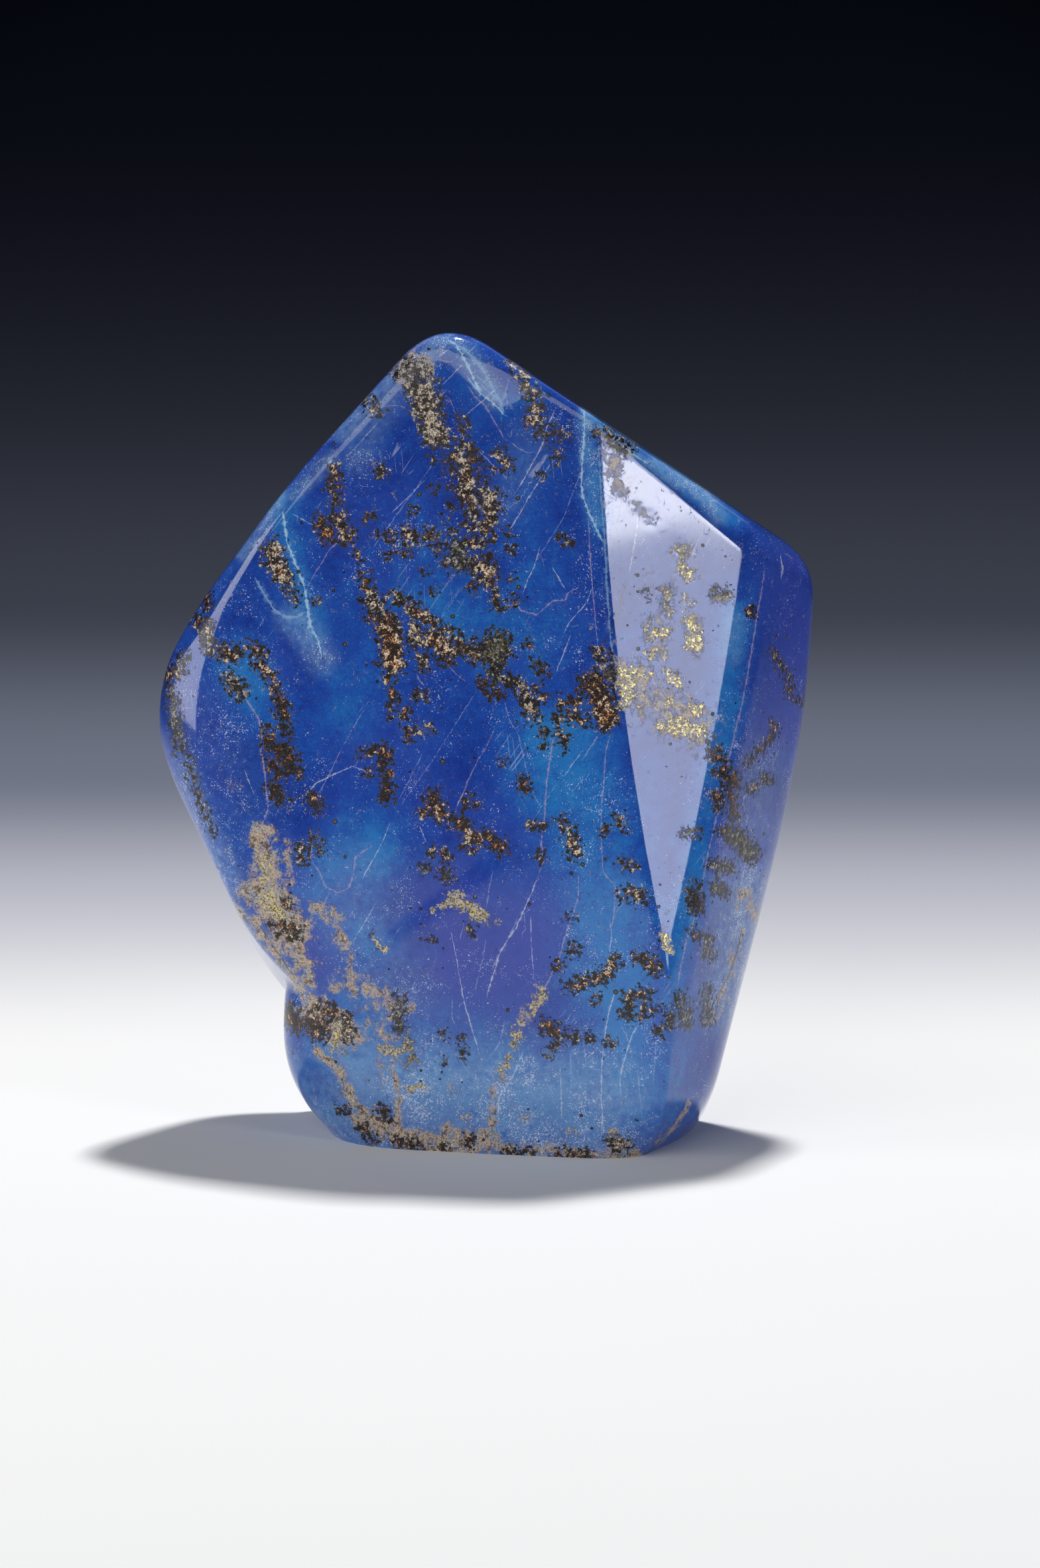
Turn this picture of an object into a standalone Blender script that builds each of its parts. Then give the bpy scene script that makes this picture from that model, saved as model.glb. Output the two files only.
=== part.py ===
"""Self-standing lapis lazuli freeform: one solid stone with worn, polished faces.

The stone is described by its worn faces.  Each face lies at its own reach from the
heart of the stone, turned about the vertical and tilted up or down, and most faces
swell slightly.  Neighbouring faces run into one another over a soft or a crisp edge.
A rounded foot bulges out at the lower left, under the undercut flank.

Metres, +Z up, front towards -Y, origin at the bottom centre of the stone.
"""

from collections import namedtuple

import bmesh
import bpy
import numpy as np

# Sizes.
MM = 0.001
HEART = np.array((0.0, -2.8, 70.6)) * MM  # centre that every reach is measured from
STONE_HALF_WIDTH = 56.0 * MM
STONE_HALF_DEPTH = 24.0 * MM
STONE_HALF_HEIGHT = 68.0 * MM

# A worn face: turn and tilt in degrees, reach in metres, swell as 1 / radius in 1/m.
Face = namedtuple("Face", "turn tilt reach swell")

MAIN_FACE = Face(-12.0, 4.0, 12.8 * MM, 1.4)
RIGHT_FACET = Face(24.0, 8.3, 25.2 * MM, 0.2)
SIDE_FACE = Face(59.0, -2.7, 40.5 * MM, 1.0)
LEFT_BEVEL_UPPER = Face(-38.0, 12.5, 31.3 * MM, 0.0)
LEFT_BEVEL_LOWER = Face(-41.0, 0.0, 33.0 * MM, 0.0)

RIGHT_EDGE_UPPER = Face(86.0, -7.0, 56.2 * MM, 0.0)
RIGHT_EDGE_LOWER = Face(85.5, -14.0, 52.8 * MM, 0.0)
TOP_RIGHT_EDGE = Face(98.0, 56.0, 54.0 * MM, 0.0)
TOP_LEFT_EDGE = Face(-94.5, 42.0, 52.5 * MM, 0.0)
LEFT_SHOULDER = Face(-93.5, 36.5, 51.4 * MM, 0.0)
LEFT_CORNER = Face(-93.0, 34.5, 52.8 * MM, 0.0)
LEFT_FLANK_UPPER = Face(-84.5, -13.8, 56.8 * MM, 0.0)
LEFT_FLANK_MIDDLE = Face(-82.5, -25.0, 51.6 * MM, 0.0)
LEFT_FLANK_UNDERCUT = Face(-71.0, -40.0, 52.6 * MM, 0.0)

BACK_FACE = Face(184.0, 9.0, 26.0 * MM, 1.0)
BACK_LOWER_FACE = Face(174.0, -6.0, 26.0 * MM, 0.5)
BACK_LEFT_FACE = Face(-140.0, 6.0, 46.0 * MM, 1.0)
BACK_RIGHT_FACE = Face(130.0, -3.0, 57.5 * MM, 0.5)
CORNER_BEVEL = Face(62.0, -50.0, 74.0 * MM, 0.0)
ROUGH_END = Face(0.0, -90.0, HEART[2] + 8.0 * MM, 0.0)

# The tip falls away to the right of a short ridge that starts at FALL_START.
FALL_START = np.array((2.7, -11.4, 124.9)) * MM
FALL_ALONG = np.array((-0.64, 0.0, 0.77))
FALL_ACROSS = np.array((0.77, 0.0, 0.64))
FALL_SLOPE = 0.30
FALL_LENGTH = 10.0 * MM
FALL_LIMIT = 1.3
FALL_SOFTNESS = 1.2 * MM

# The foot at the lower left, a rounded end that keeps the line of the main face.
FOOT_CENTRE = np.array((-16.0, -2.8, 18.1)) * MM
FOOT_LEFT = Face(-92.0, 2.0, 18.8 * MM, 0.0)
FOOT_LOWER_LEFT = Face(-84.0, -42.0, 19.8 * MM, 0.0)
FOOT_UPPER_LEFT = Face(-84.0, 50.0, 21.5 * MM, 0.0)
FOOT_RIGHT = Face(90.0, 0.0, 20.0 * MM, 0.0)
FOOT_SWING = 0.015
FOOT_SWING_FROM = -19.0 * MM

# Edge softness: how far before the edge two faces begin to run into one another.
CRISP_EDGE = 0.5 * MM
NEAR_CRISP_EDGE = 0.9 * MM
SOFT_EDGE = 2.0 * MM
BEVEL_EDGE = 1.2 * MM
FLANK_BEND = 8.0 * MM
TIP_BEND = 10.0 * MM
BACK_ROUNDING = 9.0 * MM
BACK_BEND = 3.5 * MM
FOOT_ROUNDING = 10.0 * MM
FOOT_END_BEND = 6.5 * MM
FOOT_CREASE = 0.8 * MM
CORNER_ROUNDING = 6.0 * MM
END_ROUNDING = 5.0 * MM
RIM_CRISPEST_AT = 18.0 * MM
RIM_LEAST_ROUNDING = 1.3 * MM
RIM_GROWTH_RIGHT = 0.16
RIM_GROWTH_LEFT = 0.075
RIM_SPAN_RIGHT = 25.0 * MM
RIM_SPAN_LEFT = 32.0 * MM
RIGHT_CORNER_EDGE = 2.7 * MM

# Mesh.
GRID_CUTS = 28
SEARCH_STEPS = 40
SEARCH_REACH = 2.2
EVENING_ROUNDS = 30
EVENING_SHARE = 0.5
SETTLE_STEPS = 3
PROBE = 0.02 * MM
GROUND_REACH = 1.1 * MM
LEAST_RISE = 0.1
TOUCHING = 0.001 * MM

STONE_COLOUR = (0.022, 0.075, 0.42, 1.0)
STONE_ROUGHNESS = 0.18


def direction(face):
    """Outward direction of a worn face; turn 0 looks to the front."""
    turn = np.radians(face.turn)
    tilt = np.radians(face.tilt)
    level = np.cos(tilt)
    return np.array((np.sin(turn) * level, -np.cos(turn) * level, np.sin(tilt)))


def height_over(face, q):
    """Height of the points q over a worn face, negative inside the stone."""
    out = q @ direction(face)
    if face.swell == 0.0:
        return out - face.reach
    sideways = np.sum(q * q, axis=1) - out * out
    return out - face.reach + 0.5 * face.swell * sideways


def cut(a, b, softness):
    """Keep what lies inside both fields, with a soft edge between them."""
    near = np.maximum(softness - np.abs(a - b), 0.0) / softness
    return np.maximum(a, b) + 0.25 * softness * near * near


def join(a, b, softness):
    """Keep what lies inside either field, with a soft crease between them."""
    return -cut(-a, -b, softness)


def main_face(q):
    """The main face with its fall at the tip."""
    p = q + HEART - FALL_START
    across = p @ FALL_ACROSS
    ramp = 0.5 * (across + np.sqrt(across * across + FALL_SOFTNESS * FALL_SOFTNESS))
    share = np.clip(p @ FALL_ALONG / FALL_LENGTH, 0.0, FALL_LIMIT)
    return height_over(MAIN_FACE, q) + FALL_SLOPE * ramp * share


def left_faces(q):
    """The main face and the bevels to its left."""
    bevels = cut(height_over(LEFT_BEVEL_UPPER, q), height_over(LEFT_BEVEL_LOWER, q), SOFT_EDGE)
    return cut(main_face(q), bevels, BEVEL_EDGE)


def right_faces(q):
    """The right facet, the side face and the edge behind it."""
    edge = cut(height_over(RIGHT_EDGE_UPPER, q), height_over(RIGHT_EDGE_LOWER, q), NEAR_CRISP_EDGE)
    side = cut(height_over(SIDE_FACE, q), edge, SOFT_EDGE)
    return cut(height_over(RIGHT_FACET, q), side, RIGHT_CORNER_EDGE)


def front_faces(q):
    """Everything that faces forward, with the crisp ridge down its right."""
    return cut(left_faces(q), right_faces(q), CRISP_EDGE)


def rim(q):
    """The narrow faces all round the top and down the left flank."""
    shoulder = cut(height_over(LEFT_SHOULDER, q), height_over(LEFT_CORNER, q), NEAR_CRISP_EDGE)
    upper = cut(height_over(TOP_LEFT_EDGE, q), shoulder, NEAR_CRISP_EDGE)
    flank = cut(height_over(LEFT_FLANK_UPPER, q), height_over(LEFT_FLANK_MIDDLE, q), SOFT_EDGE)
    flank = cut(flank, height_over(LEFT_FLANK_UNDERCUT, q), SOFT_EDGE)
    left = cut(upper, flank, FLANK_BEND)
    return cut(height_over(TOP_RIGHT_EDGE, q), left, TIP_BEND)


def back_faces(q):
    """The plain faces of the back."""
    field = cut(height_over(BACK_FACE, q), height_over(BACK_LEFT_FACE, q), BACK_BEND)
    field = cut(field, height_over(BACK_RIGHT_FACE, q), BACK_BEND)
    return cut(field, height_over(BACK_LOWER_FACE, q), BACK_BEND)


def foot(q):
    """The rounded foot at the lower left."""
    p = q + HEART - FOOT_CENTRE
    end = cut(height_over(FOOT_LEFT, p), height_over(FOOT_LOWER_LEFT, p), FOOT_END_BEND)
    end = cut(end, height_over(FOOT_UPPER_LEFT, p), FOOT_END_BEND)
    front = main_face(q) + FOOT_SWING * (q[:, 0] - FOOT_SWING_FROM)
    field = cut(front, end, FOOT_ROUNDING)
    return cut(field, height_over(FOOT_RIGHT, p), SOFT_EDGE)


def stone_field(points):
    """Signed field of the stone before its flat spot is ground: zero on its surface."""
    q = points - HEART
    right = np.clip(q[:, 0] - RIM_CRISPEST_AT, 0.0, RIM_SPAN_RIGHT)
    left = np.clip(RIM_CRISPEST_AT - q[:, 0], 0.0, RIM_SPAN_LEFT)
    rounding = RIM_LEAST_ROUNDING + RIM_GROWTH_RIGHT * right + RIM_GROWTH_LEFT * left
    field = cut(front_faces(q), rim(q), rounding)
    field = join(field, foot(q), FOOT_CREASE)
    field = cut(field, back_faces(q), BACK_ROUNDING)
    field = cut(field, height_over(CORNER_BEVEL, q), CORNER_ROUNDING)
    return cut(field, height_over(ROUGH_END, q), END_ROUNDING)


def outward(points):
    """Slope of the stone's field at each point, by central differences."""
    slope = np.empty_like(points)
    for axis in range(3):
        step = np.zeros(3)
        step[axis] = PROBE
        slope[:, axis] = (stone_field(points + step) - stone_field(points - step)) / (2.0 * PROBE)
    return slope


def reach_surface(rays):
    """Follow each ray from the heart out to the surface."""
    inside = np.zeros(len(rays))
    outside = np.full(len(rays), SEARCH_REACH)
    for _ in range(SEARCH_STEPS):
        middle = 0.5 * (inside + outside)
        within = stone_field(HEART + rays * middle[:, None]) < 0.0
        inside = np.where(within, middle, inside)
        outside = np.where(within, outside, middle)
    return HEART + rays * inside[:, None]


def settle(points):
    """Move points straight onto the surface."""
    for _ in range(SETTLE_STEPS):
        slope = outward(points)
        steep = np.sum(slope * slope, axis=1)
        points = points - slope * (stone_field(points) / steep)[:, None]
    return points


def even_out(points, edges):
    """Spread the points evenly over the surface."""
    size = len(points)
    ends = np.concatenate((edges[:, 0], edges[:, 1]))
    others = np.concatenate((edges[:, 1], edges[:, 0]))
    count = np.bincount(ends, minlength=size)
    for _ in range(EVENING_ROUNDS):
        sums = [np.bincount(ends, weights=points[others, axis], minlength=size) for axis in range(3)]
        pull = np.stack(sums, axis=1) / count[:, None] - points
        normal = outward(points)
        normal /= np.linalg.norm(normal, axis=1)[:, None]
        pull -= normal * np.sum(pull * normal, axis=1)[:, None]
        points = settle(points + EVENING_SHARE * pull)
    return points


def bring_to_ground(points):
    """Slide the points nearest the ground down or up the surface onto it."""
    normal = outward(points)
    normal /= np.linalg.norm(normal, axis=1)[:, None]
    along = -normal * normal[:, 2:3]
    along[:, 2] += 1.0
    move = -along * (points[:, 2] / np.maximum(along[:, 2], LEAST_RISE))[:, None]
    near = np.maximum(np.linalg.norm(move, axis=1), np.abs(points[:, 2])) < GROUND_REACH
    points = points + np.where(near[:, None], move, 0.0)
    points[near, 2] = 0.0
    return points


def stone_material():
    """Plain polished lapis blue."""
    material = bpy.data.materials.new("lapis_blue")
    material.use_nodes = True
    shader = material.node_tree.nodes["Principled BSDF"]
    shader.inputs["Base Color"].default_value = STONE_COLOUR
    shader.inputs["Roughness"].default_value = STONE_ROUGHNESS
    shader.inputs["Metallic"].default_value = 0.0
    return material


def grind_flat(bm):
    """Grind the underside away level with the ground, leaving one flat spot."""
    everything = bm.verts[:] + bm.edges[:] + bm.faces[:]
    up = (0.0, 0.0, 1.0)
    ground = (0.0, 0.0, 0.0)
    bmesh.ops.bisect_plane(
        bm, geom=everything, dist=TOUCHING, plane_co=ground, plane_no=up, clear_inner=True
    )
    rim_edges = [edge for edge in bm.edges if edge.is_boundary]
    bmesh.ops.holes_fill(bm, edges=rim_edges, sides=0)


def build_stone():
    """Model the stone from an evenly cut block, moved onto the worn faces."""
    bm = bmesh.new()
    bmesh.ops.create_cube(bm, size=2.0)
    bmesh.ops.subdivide_edges(bm, edges=bm.edges[:], cuts=GRID_CUTS, use_grid_fill=True)
    bm.verts.ensure_lookup_table()
    grid = np.array([vert.co for vert in bm.verts])
    edges = np.array([[vert.index for vert in edge.verts] for edge in bm.edges])
    spread = np.tan(grid * np.pi / 4.0)
    rays = spread / np.linalg.norm(spread, axis=1)[:, None]
    rays *= (STONE_HALF_WIDTH, STONE_HALF_DEPTH, STONE_HALF_HEIGHT)
    points = bring_to_ground(even_out(reach_surface(rays), edges))
    for vert, point in zip(bm.verts, points):
        vert.co = point
    grind_flat(bm)
    bmesh.ops.triangulate(bm, faces=bm.faces[:], quad_method="SHORT_EDGE")
    bmesh.ops.recalc_face_normals(bm, faces=bm.faces[:])
    for face in bm.faces:
        face.smooth = True
    mesh = bpy.data.meshes.new("lapis_freeform")
    bm.to_mesh(mesh)
    bm.free()
    mesh.materials.append(stone_material())
    stone = bpy.data.objects.new("lapis_freeform", mesh)
    bpy.context.scene.collection.objects.link(stone)
    return stone


for leftover in list(bpy.data.objects):
    bpy.data.objects.remove(leftover, do_unlink=True)

build_stone()
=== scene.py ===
"""Studio scene of a polished, self-standing lapis lazuli freeform.

The stone is shaped by its worn faces on a fine grid, then coloured by a procedural
material: blue ground with azure clouds, ore grains, tan crust, pale veins and specks.
Some pale lines, haze and clouds laid over it are painted highlights and painted reflections.
Marks that can be seen from the front are laid out as they lie in the front picture.
"""

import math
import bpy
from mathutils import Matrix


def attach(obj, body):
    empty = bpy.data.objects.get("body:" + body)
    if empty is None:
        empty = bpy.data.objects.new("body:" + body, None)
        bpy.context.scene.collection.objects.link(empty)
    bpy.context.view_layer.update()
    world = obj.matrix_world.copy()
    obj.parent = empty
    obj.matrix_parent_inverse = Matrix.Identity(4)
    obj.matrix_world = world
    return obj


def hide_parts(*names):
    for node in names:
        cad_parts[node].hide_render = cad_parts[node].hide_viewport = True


bl_info = {
    "name": "Lapis lazuli freeform",
    "version": (1, 0, 0),
    "blender": (4, 5, 0),
    "location": "View3D > Sidebar > Lapis",
    "description": "Builds a polished lapis lazuli stone on a pale studio floor",
    "category": "Add Mesh",
}

from collections import namedtuple

import bmesh
import bpy
import numpy as np
from bpy.props import FloatProperty, FloatVectorProperty, PointerProperty
from mathutils import Vector, noise

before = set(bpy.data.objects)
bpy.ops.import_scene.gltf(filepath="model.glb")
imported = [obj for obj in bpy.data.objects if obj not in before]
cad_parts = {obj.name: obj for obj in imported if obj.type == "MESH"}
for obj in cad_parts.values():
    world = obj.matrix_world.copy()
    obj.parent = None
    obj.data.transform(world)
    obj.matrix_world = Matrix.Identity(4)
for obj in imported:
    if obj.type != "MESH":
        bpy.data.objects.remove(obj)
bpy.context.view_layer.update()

STONE_NODE = "lapis_freeform"
MM = 0.001

# Picture and camera: the picture in points, the sensor in millimetres, the focal length in
# picture points, and the camera's slope down in degrees.
PICTURE_WIDTH = 1568
PICTURE_HEIGHT = 2365
SENSOR = 36.0
FOCAL_POINTS = 10143.0
CAMERA_PLACE = np.array((5.67, -1125.0, 258.75)) * MM
CAMERA_DOWN = 10.0
CLIP_START = 0.05
CLIP_END = 50.0
POINTS_PER_MM = 8.82

# Sizes of the stone, as in its solid.
HEART = np.array((0.0, -2.8, 70.6)) * MM
STONE_HALF = np.array((56.0, 24.0, 68.0)) * MM

# A worn face: turn and tilt in degrees, reach in metres, swell as 1 / radius in 1/m.
Face = namedtuple("Face", "turn tilt reach swell")

MAIN_FACE = Face(-12.0, 4.0, 12.8 * MM, 1.4)
RIGHT_FACET = Face(24.0, 8.3, 25.2 * MM, 0.2)
SIDE_FACE = Face(59.0, -2.7, 40.5 * MM, 1.0)
LEFT_BEVEL_UPPER = Face(-38.0, 12.5, 31.3 * MM, 0.0)
LEFT_BEVEL_LOWER = Face(-41.0, 0.0, 33.0 * MM, 0.0)

RIGHT_EDGE_UPPER = Face(86.0, -7.0, 56.2 * MM, 0.0)
RIGHT_EDGE_LOWER = Face(85.5, -14.0, 52.8 * MM, 0.0)
TOP_RIGHT_EDGE = Face(98.0, 56.0, 54.0 * MM, 0.0)
TOP_LEFT_EDGE = Face(-94.5, 42.0, 52.5 * MM, 0.0)
LEFT_SHOULDER = Face(-93.5, 36.5, 51.4 * MM, 0.0)
LEFT_CORNER = Face(-93.0, 34.5, 52.8 * MM, 0.0)
LEFT_FLANK_UPPER = Face(-84.5, -13.8, 56.8 * MM, 0.0)
LEFT_FLANK_MIDDLE = Face(-82.5, -25.0, 51.6 * MM, 0.0)
LEFT_FLANK_UNDERCUT = Face(-71.0, -40.0, 52.6 * MM, 0.0)

BACK_FACE = Face(184.0, 9.0, 26.0 * MM, 1.0)
BACK_LOWER_FACE = Face(174.0, -6.0, 26.0 * MM, 0.5)
BACK_LEFT_FACE = Face(-140.0, 6.0, 46.0 * MM, 1.0)
BACK_RIGHT_FACE = Face(130.0, -3.0, 57.5 * MM, 0.5)
CORNER_BEVEL = Face(62.0, -50.0, 74.0 * MM, 0.0)
ROUGH_END = Face(0.0, -90.0, HEART[2] + 8.0 * MM, 0.0)

# The tip falls away to the right of a short ridge that starts at FALL_START.
FALL_START = np.array((2.7, -11.4, 124.9)) * MM
FALL_ALONG = np.array((-0.64, 0.0, 0.77))
FALL_ACROSS = np.array((0.77, 0.0, 0.64))
FALL_SLOPE = 0.30
FALL_LENGTH = 10.0 * MM
FALL_LIMIT = 1.3
FALL_SOFTNESS = 1.2 * MM

# The foot at the lower left.
FOOT_CENTRE = np.array((-16.0, -2.8, 18.1)) * MM
FOOT_LEFT = Face(-92.0, 2.0, 18.8 * MM, 0.0)
FOOT_LOWER_LEFT = Face(-84.0, -42.0, 19.8 * MM, 0.0)
FOOT_UPPER_LEFT = Face(-84.0, 50.0, 21.5 * MM, 0.0)
FOOT_RIGHT = Face(90.0, 0.0, 20.0 * MM, 0.0)
FOOT_SWING = 0.015
FOOT_SWING_FROM = -19.0 * MM

# Edge softness.
CRISP_EDGE = 0.5 * MM
NEAR_CRISP_EDGE = 0.9 * MM
SOFT_EDGE = 2.0 * MM
BEVEL_EDGE = 1.2 * MM
FLANK_BEND = 8.0 * MM
TIP_BEND = 10.0 * MM
BACK_ROUNDING = 9.0 * MM
BACK_BEND = 3.5 * MM
FOOT_ROUNDING = 10.0 * MM
FOOT_END_BEND = 6.5 * MM
FOOT_CREASE = 0.8 * MM
CORNER_ROUNDING = 6.0 * MM
END_ROUNDING = 5.0 * MM
RIM_CRISPEST_AT = 18.0 * MM
RIM_LEAST_ROUNDING = 1.3 * MM
RIM_GROWTH_RIGHT = 0.16
RIM_GROWTH_LEFT = 0.075
RIM_SPAN_RIGHT = 25.0 * MM
RIM_SPAN_LEFT = 32.0 * MM
RIGHT_CORNER_EDGE = 2.7 * MM

# Mesh: a block of two units a side, cut into a grid and moved out onto the worn faces.
BLOCK_SIDE = 2.0
GRID_CUTS = 126
SEARCH_STEPS = 22
SEARCH_REACH = 2.2
EVENING_ROUNDS = 8
EVENING_SHARE = 0.5
SETTLE_STEPS = 2
PROBE = 0.02 * MM
GROUND_REACH = 0.3 * MM
LEAST_RISE = 0.1
TOUCHING = 0.001 * MM

# Marks, laid out in picture points. Ore follows a path and reaches so far to each side of
# it, or fills an outline. Tone runs from black through rust to cream, and gilt from
# rusty ore through olive to gold.
Ore = namedtuple("Ore", "path reach tone gilt", defaults=(0.0,))
OrePatch = namedtuple("OrePatch", "outline tone gilt")
Vein = namedtuple("Vein", "path width")
Cloud = namedtuple("Cloud", "path reach amount")

ORE_PATCHES = (
    OrePatch(((611, 571), (655, 573), (661, 594), (667, 626), (674, 644), (679, 662), (666, 677),
              (643, 674), (636, 654), (630, 637), (622, 620), (616, 598)), 0.72, 0.22),
    OrePatch(((728, 962), (744, 951), (762, 953), (771, 964), (773, 977), (766, 990), (762, 1004),
              (757, 1026), (748, 1036), (738, 1030), (733, 1014), (729, 998), (723, 982)), 0.42, 0.5),
    OrePatch(((647, 1378), (671, 1354), (677, 1341), (690, 1341), (701, 1354), (727, 1365), (749, 1394),
              (711, 1388), (701, 1375), (674, 1367)), 0.55, 0.75),
    OrePatch(((401, 814), (415, 812), (424, 826), (427, 845), (439, 860), (444, 874), (440, 888),
              (450, 904), (445, 912), (434, 902), (425, 884), (411, 876), (403, 860), (396, 840)),
             0.62, 0.1),
)
CROWN_ORE = (
    Ore(((641, 578),), 6, 0.42),
    Ore(((660, 658), (669, 665)), 7, 0.44),
    Ore(((604, 562), (618, 549), (633, 556), (641, 566)), 10, 0.72, 0.3),
    Ore(((693, 672), (697, 700)), 8, 0.76),
    Ore(((683, 688), (680, 706)), 8, 0.02),
    Ore(((711, 676), (714, 692)), 8, 0.05),
    Ore(((702, 706), (704, 744)), 13, 0.52),
    Ore(((684, 736),), 6, 0.15),
    Ore(((706, 748), (713, 770)), 11, 0.42, 0.3),
    Ore(((724, 744),), 6, 0.04),
    Ore(((739, 748), (737, 776)), 13, 0.68),
    Ore(((738, 786), (732, 796)), 11, 0.42),
    Ore(((714, 778), (716, 800)), 6, 0.55),
    Ore(((741, 804), (742, 816)), 4, 0.6),
    Ore(((585, 807),), 7, 0.15),
    Ore(((610, 806), (630, 812)), 10, 0.5),
    Ore(((644, 806), (655, 808)), 8, 0.3, 0.3),
    Ore(((656, 820), (664, 834)), 6, 0.4, 0.3),
    Ore(((666, 804), (688, 805)), 4, 0.6, 0.4),
    Ore(((688, 822), (694, 846)), 14, 0.5, 0.48),
    Ore(((703, 815), (718, 821)), 9, 0.42),
    Ore(((672, 846), (702, 851)), 10, 0.48, 0.3),
    Ore(((718, 843), (738, 841)), 5, 0.04),
    Ore(((720, 852), (738, 866)), 14, 0.62),
    Ore(((727, 876), (738, 880)), 8, 0.3),
    Ore(((712, 885),), 7, 0.08),
    Ore(((742, 886), (747, 904), (751, 914)), 6, 0.45),
    Ore(((614, 832),), 7, 0.08),
    Ore(((595, 832),), 5, 0.3),
    Ore(((752, 682), (762, 692), (766, 705)), 6, 0.42),
    Ore(((577, 714),), 8, 0.5),
    Ore(((695, 635), (699, 647)), 6, 0.35),
    Ore(((556, 607), (566, 618)), 9, 0.74),
    Ore(((772, 550), (783, 564)), 4, 0.66),
    Ore(((785, 564), (793, 582)), 8, 0.62),
    Ore(((799, 588), (808, 612), (812, 636)), 10, 0.64),
    Ore(((801, 636),), 8, 0.25),
    Ore(((816, 648), (817, 658)), 5, 0.15, 0.3),
    Ore(((836, 648), (843, 652)), 6, 0.25, 0.2),
    Ore(((839, 680), (841, 693)), 5, 0.45),
    Ore(((503, 706), (506, 730), (509, 758)), 8, 0.32),
    Ore(((487, 790), (494, 806)), 12, 0.1),
    Ore(((507, 776), (518, 792), (524, 812)), 10, 0.42),
    Ore(((540, 838),), 7, 0.35),
    Ore(((556, 782),), 7, 0.08),
)
MIDDLE_ORE = (
    Ore(((550, 872), (556, 890)), 8, 0.15),
    Ore(((560, 904), (568, 918)), 13, 0.78),
    Ore(((560, 930), (568, 936)), 9, 0.38),
    Ore(((597, 900), (612, 909)), 9, 0.64),
    Ore(((620, 916), (632, 926)), 10, 0.35),
    Ore(((636, 932), (656, 943)), 9, 0.4),
    Ore(((581, 940), (590, 972), (592, 1002)), 18, 0.4),
    Ore(((588, 1016), (587, 1026)), 7, 0.2),
    Ore(((626, 950), (632, 968)), 12, 0.82),
    Ore(((652, 962), (676, 978)), 16, 0.5),
    Ore(((662, 995), (678, 997)), 7, 0.04),
    Ore(((636, 988), (640, 1006)), 6, 0.52),
    Ore(((672, 950), (690, 961)), 7, 0.72),
    Ore(((694, 974), (722, 991)), 11, 0.38, 0.3),
    Ore(((716, 967),), 6, 0.6),
    Ore(((767, 970), (764, 986)), 5, 0.74),
    Ore(((728, 1028), (744, 1048)), 7, 0.05),
    Ore(((754, 1046),), 7, 0.1),
    Ore(((758, 1022), (771, 1031)), 8, 0.78),
    Ore(((782, 1032), (792, 1046), (800, 1068), (804, 1080)), 10, 0.8),
    Ore(((808, 1038), (819, 1051)), 6, 0.2),
    Ore(((811, 1002), (820, 1015)), 7, 0.25, 0.4),
    Ore(((797, 974),), 6, 0.1),
    Ore(((902, 986), (912, 994)), 8, 0.62),
    Ore(((896, 1030), (904, 1052), (915, 1082)), 19, 0.34),
    Ore(((920, 1017),), 11, 0.36, 0.45),
    Ore(((902, 1045),), 9, 0.5),
    Ore(((880, 1033),), 9, 0.02),
    Ore(((848, 1060), (868, 1058)), 10, 0.4),
    Ore(((864, 1080), (879, 1089)), 8, 0.25),
    Ore(((841, 1084), (842, 1114)), 5, 0.5),
    Ore(((849, 1112), (850, 1128)), 5, 0.15),
    Ore(((818, 1104),), 6, 0.35),
    Ore(((592, 1046), (592, 1057)), 8, 0.02),
    Ore(((589, 1070), (589, 1081)), 4, 0.4),
    Ore(((611, 1077),), 7, 0.08),
    Ore(((627, 1051), (643, 1048)), 5, 0.48),
    Ore(((614, 1102), (616, 1113)), 6, 0.15),
    Ore(((632, 1103), (647, 1099)), 8, 0.62),
    Ore(((546, 1135), (561, 1134)), 6, 0.12),
    Ore(((577, 1130), (580, 1152), (584, 1182), (582, 1202)), 9, 0.03),
    Ore(((557, 1166),), 5, 0.3),
    Ore(((652, 1204), (664, 1224)), 12, 0.28),
    Ore(((640, 1223),), 8, 0.2),
    Ore(((706, 1208), (717, 1210)), 6, 0.3),
    Ore(((686, 1238), (704, 1250)), 11, 0.2),
    Ore(((706, 1256), (722, 1266)), 11, 0.5),
    Ore(((736, 1262), (757, 1281)), 9, 0.15),
    Ore(((700, 1276), (713, 1281)), 6, 0.3),
    Ore(((651, 1284),), 5, 0.6),
    Ore(((668, 1286), (672, 1298)), 6, 0.3),
    Ore(((788, 1177), (792, 1193)), 7, 0.05),
    Ore(((801, 1246), (817, 1246)), 5, 0.3),
    Ore(((846, 1238), (855, 1249)), 7, 0.4),
    Ore(((861, 1266), (869, 1286)), 10, 0.5),
    Ore(((911, 1252),), 6, 0.2),
    Ore(((933, 1235), (941, 1246)), 6, 0.4),
    Ore(((941, 1304), (955, 1306)), 6, 0.6),
    Ore(((941, 1350), (954, 1344), (969, 1352)), 8, 0.5),
    Ore(((814, 1292),), 6, 0.58),
    Ore(((642, 1310),), 7, 0.5, 0.5),
    Ore(((667, 1315), (677, 1325)), 7, 0.4, 0.5),
)
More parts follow.
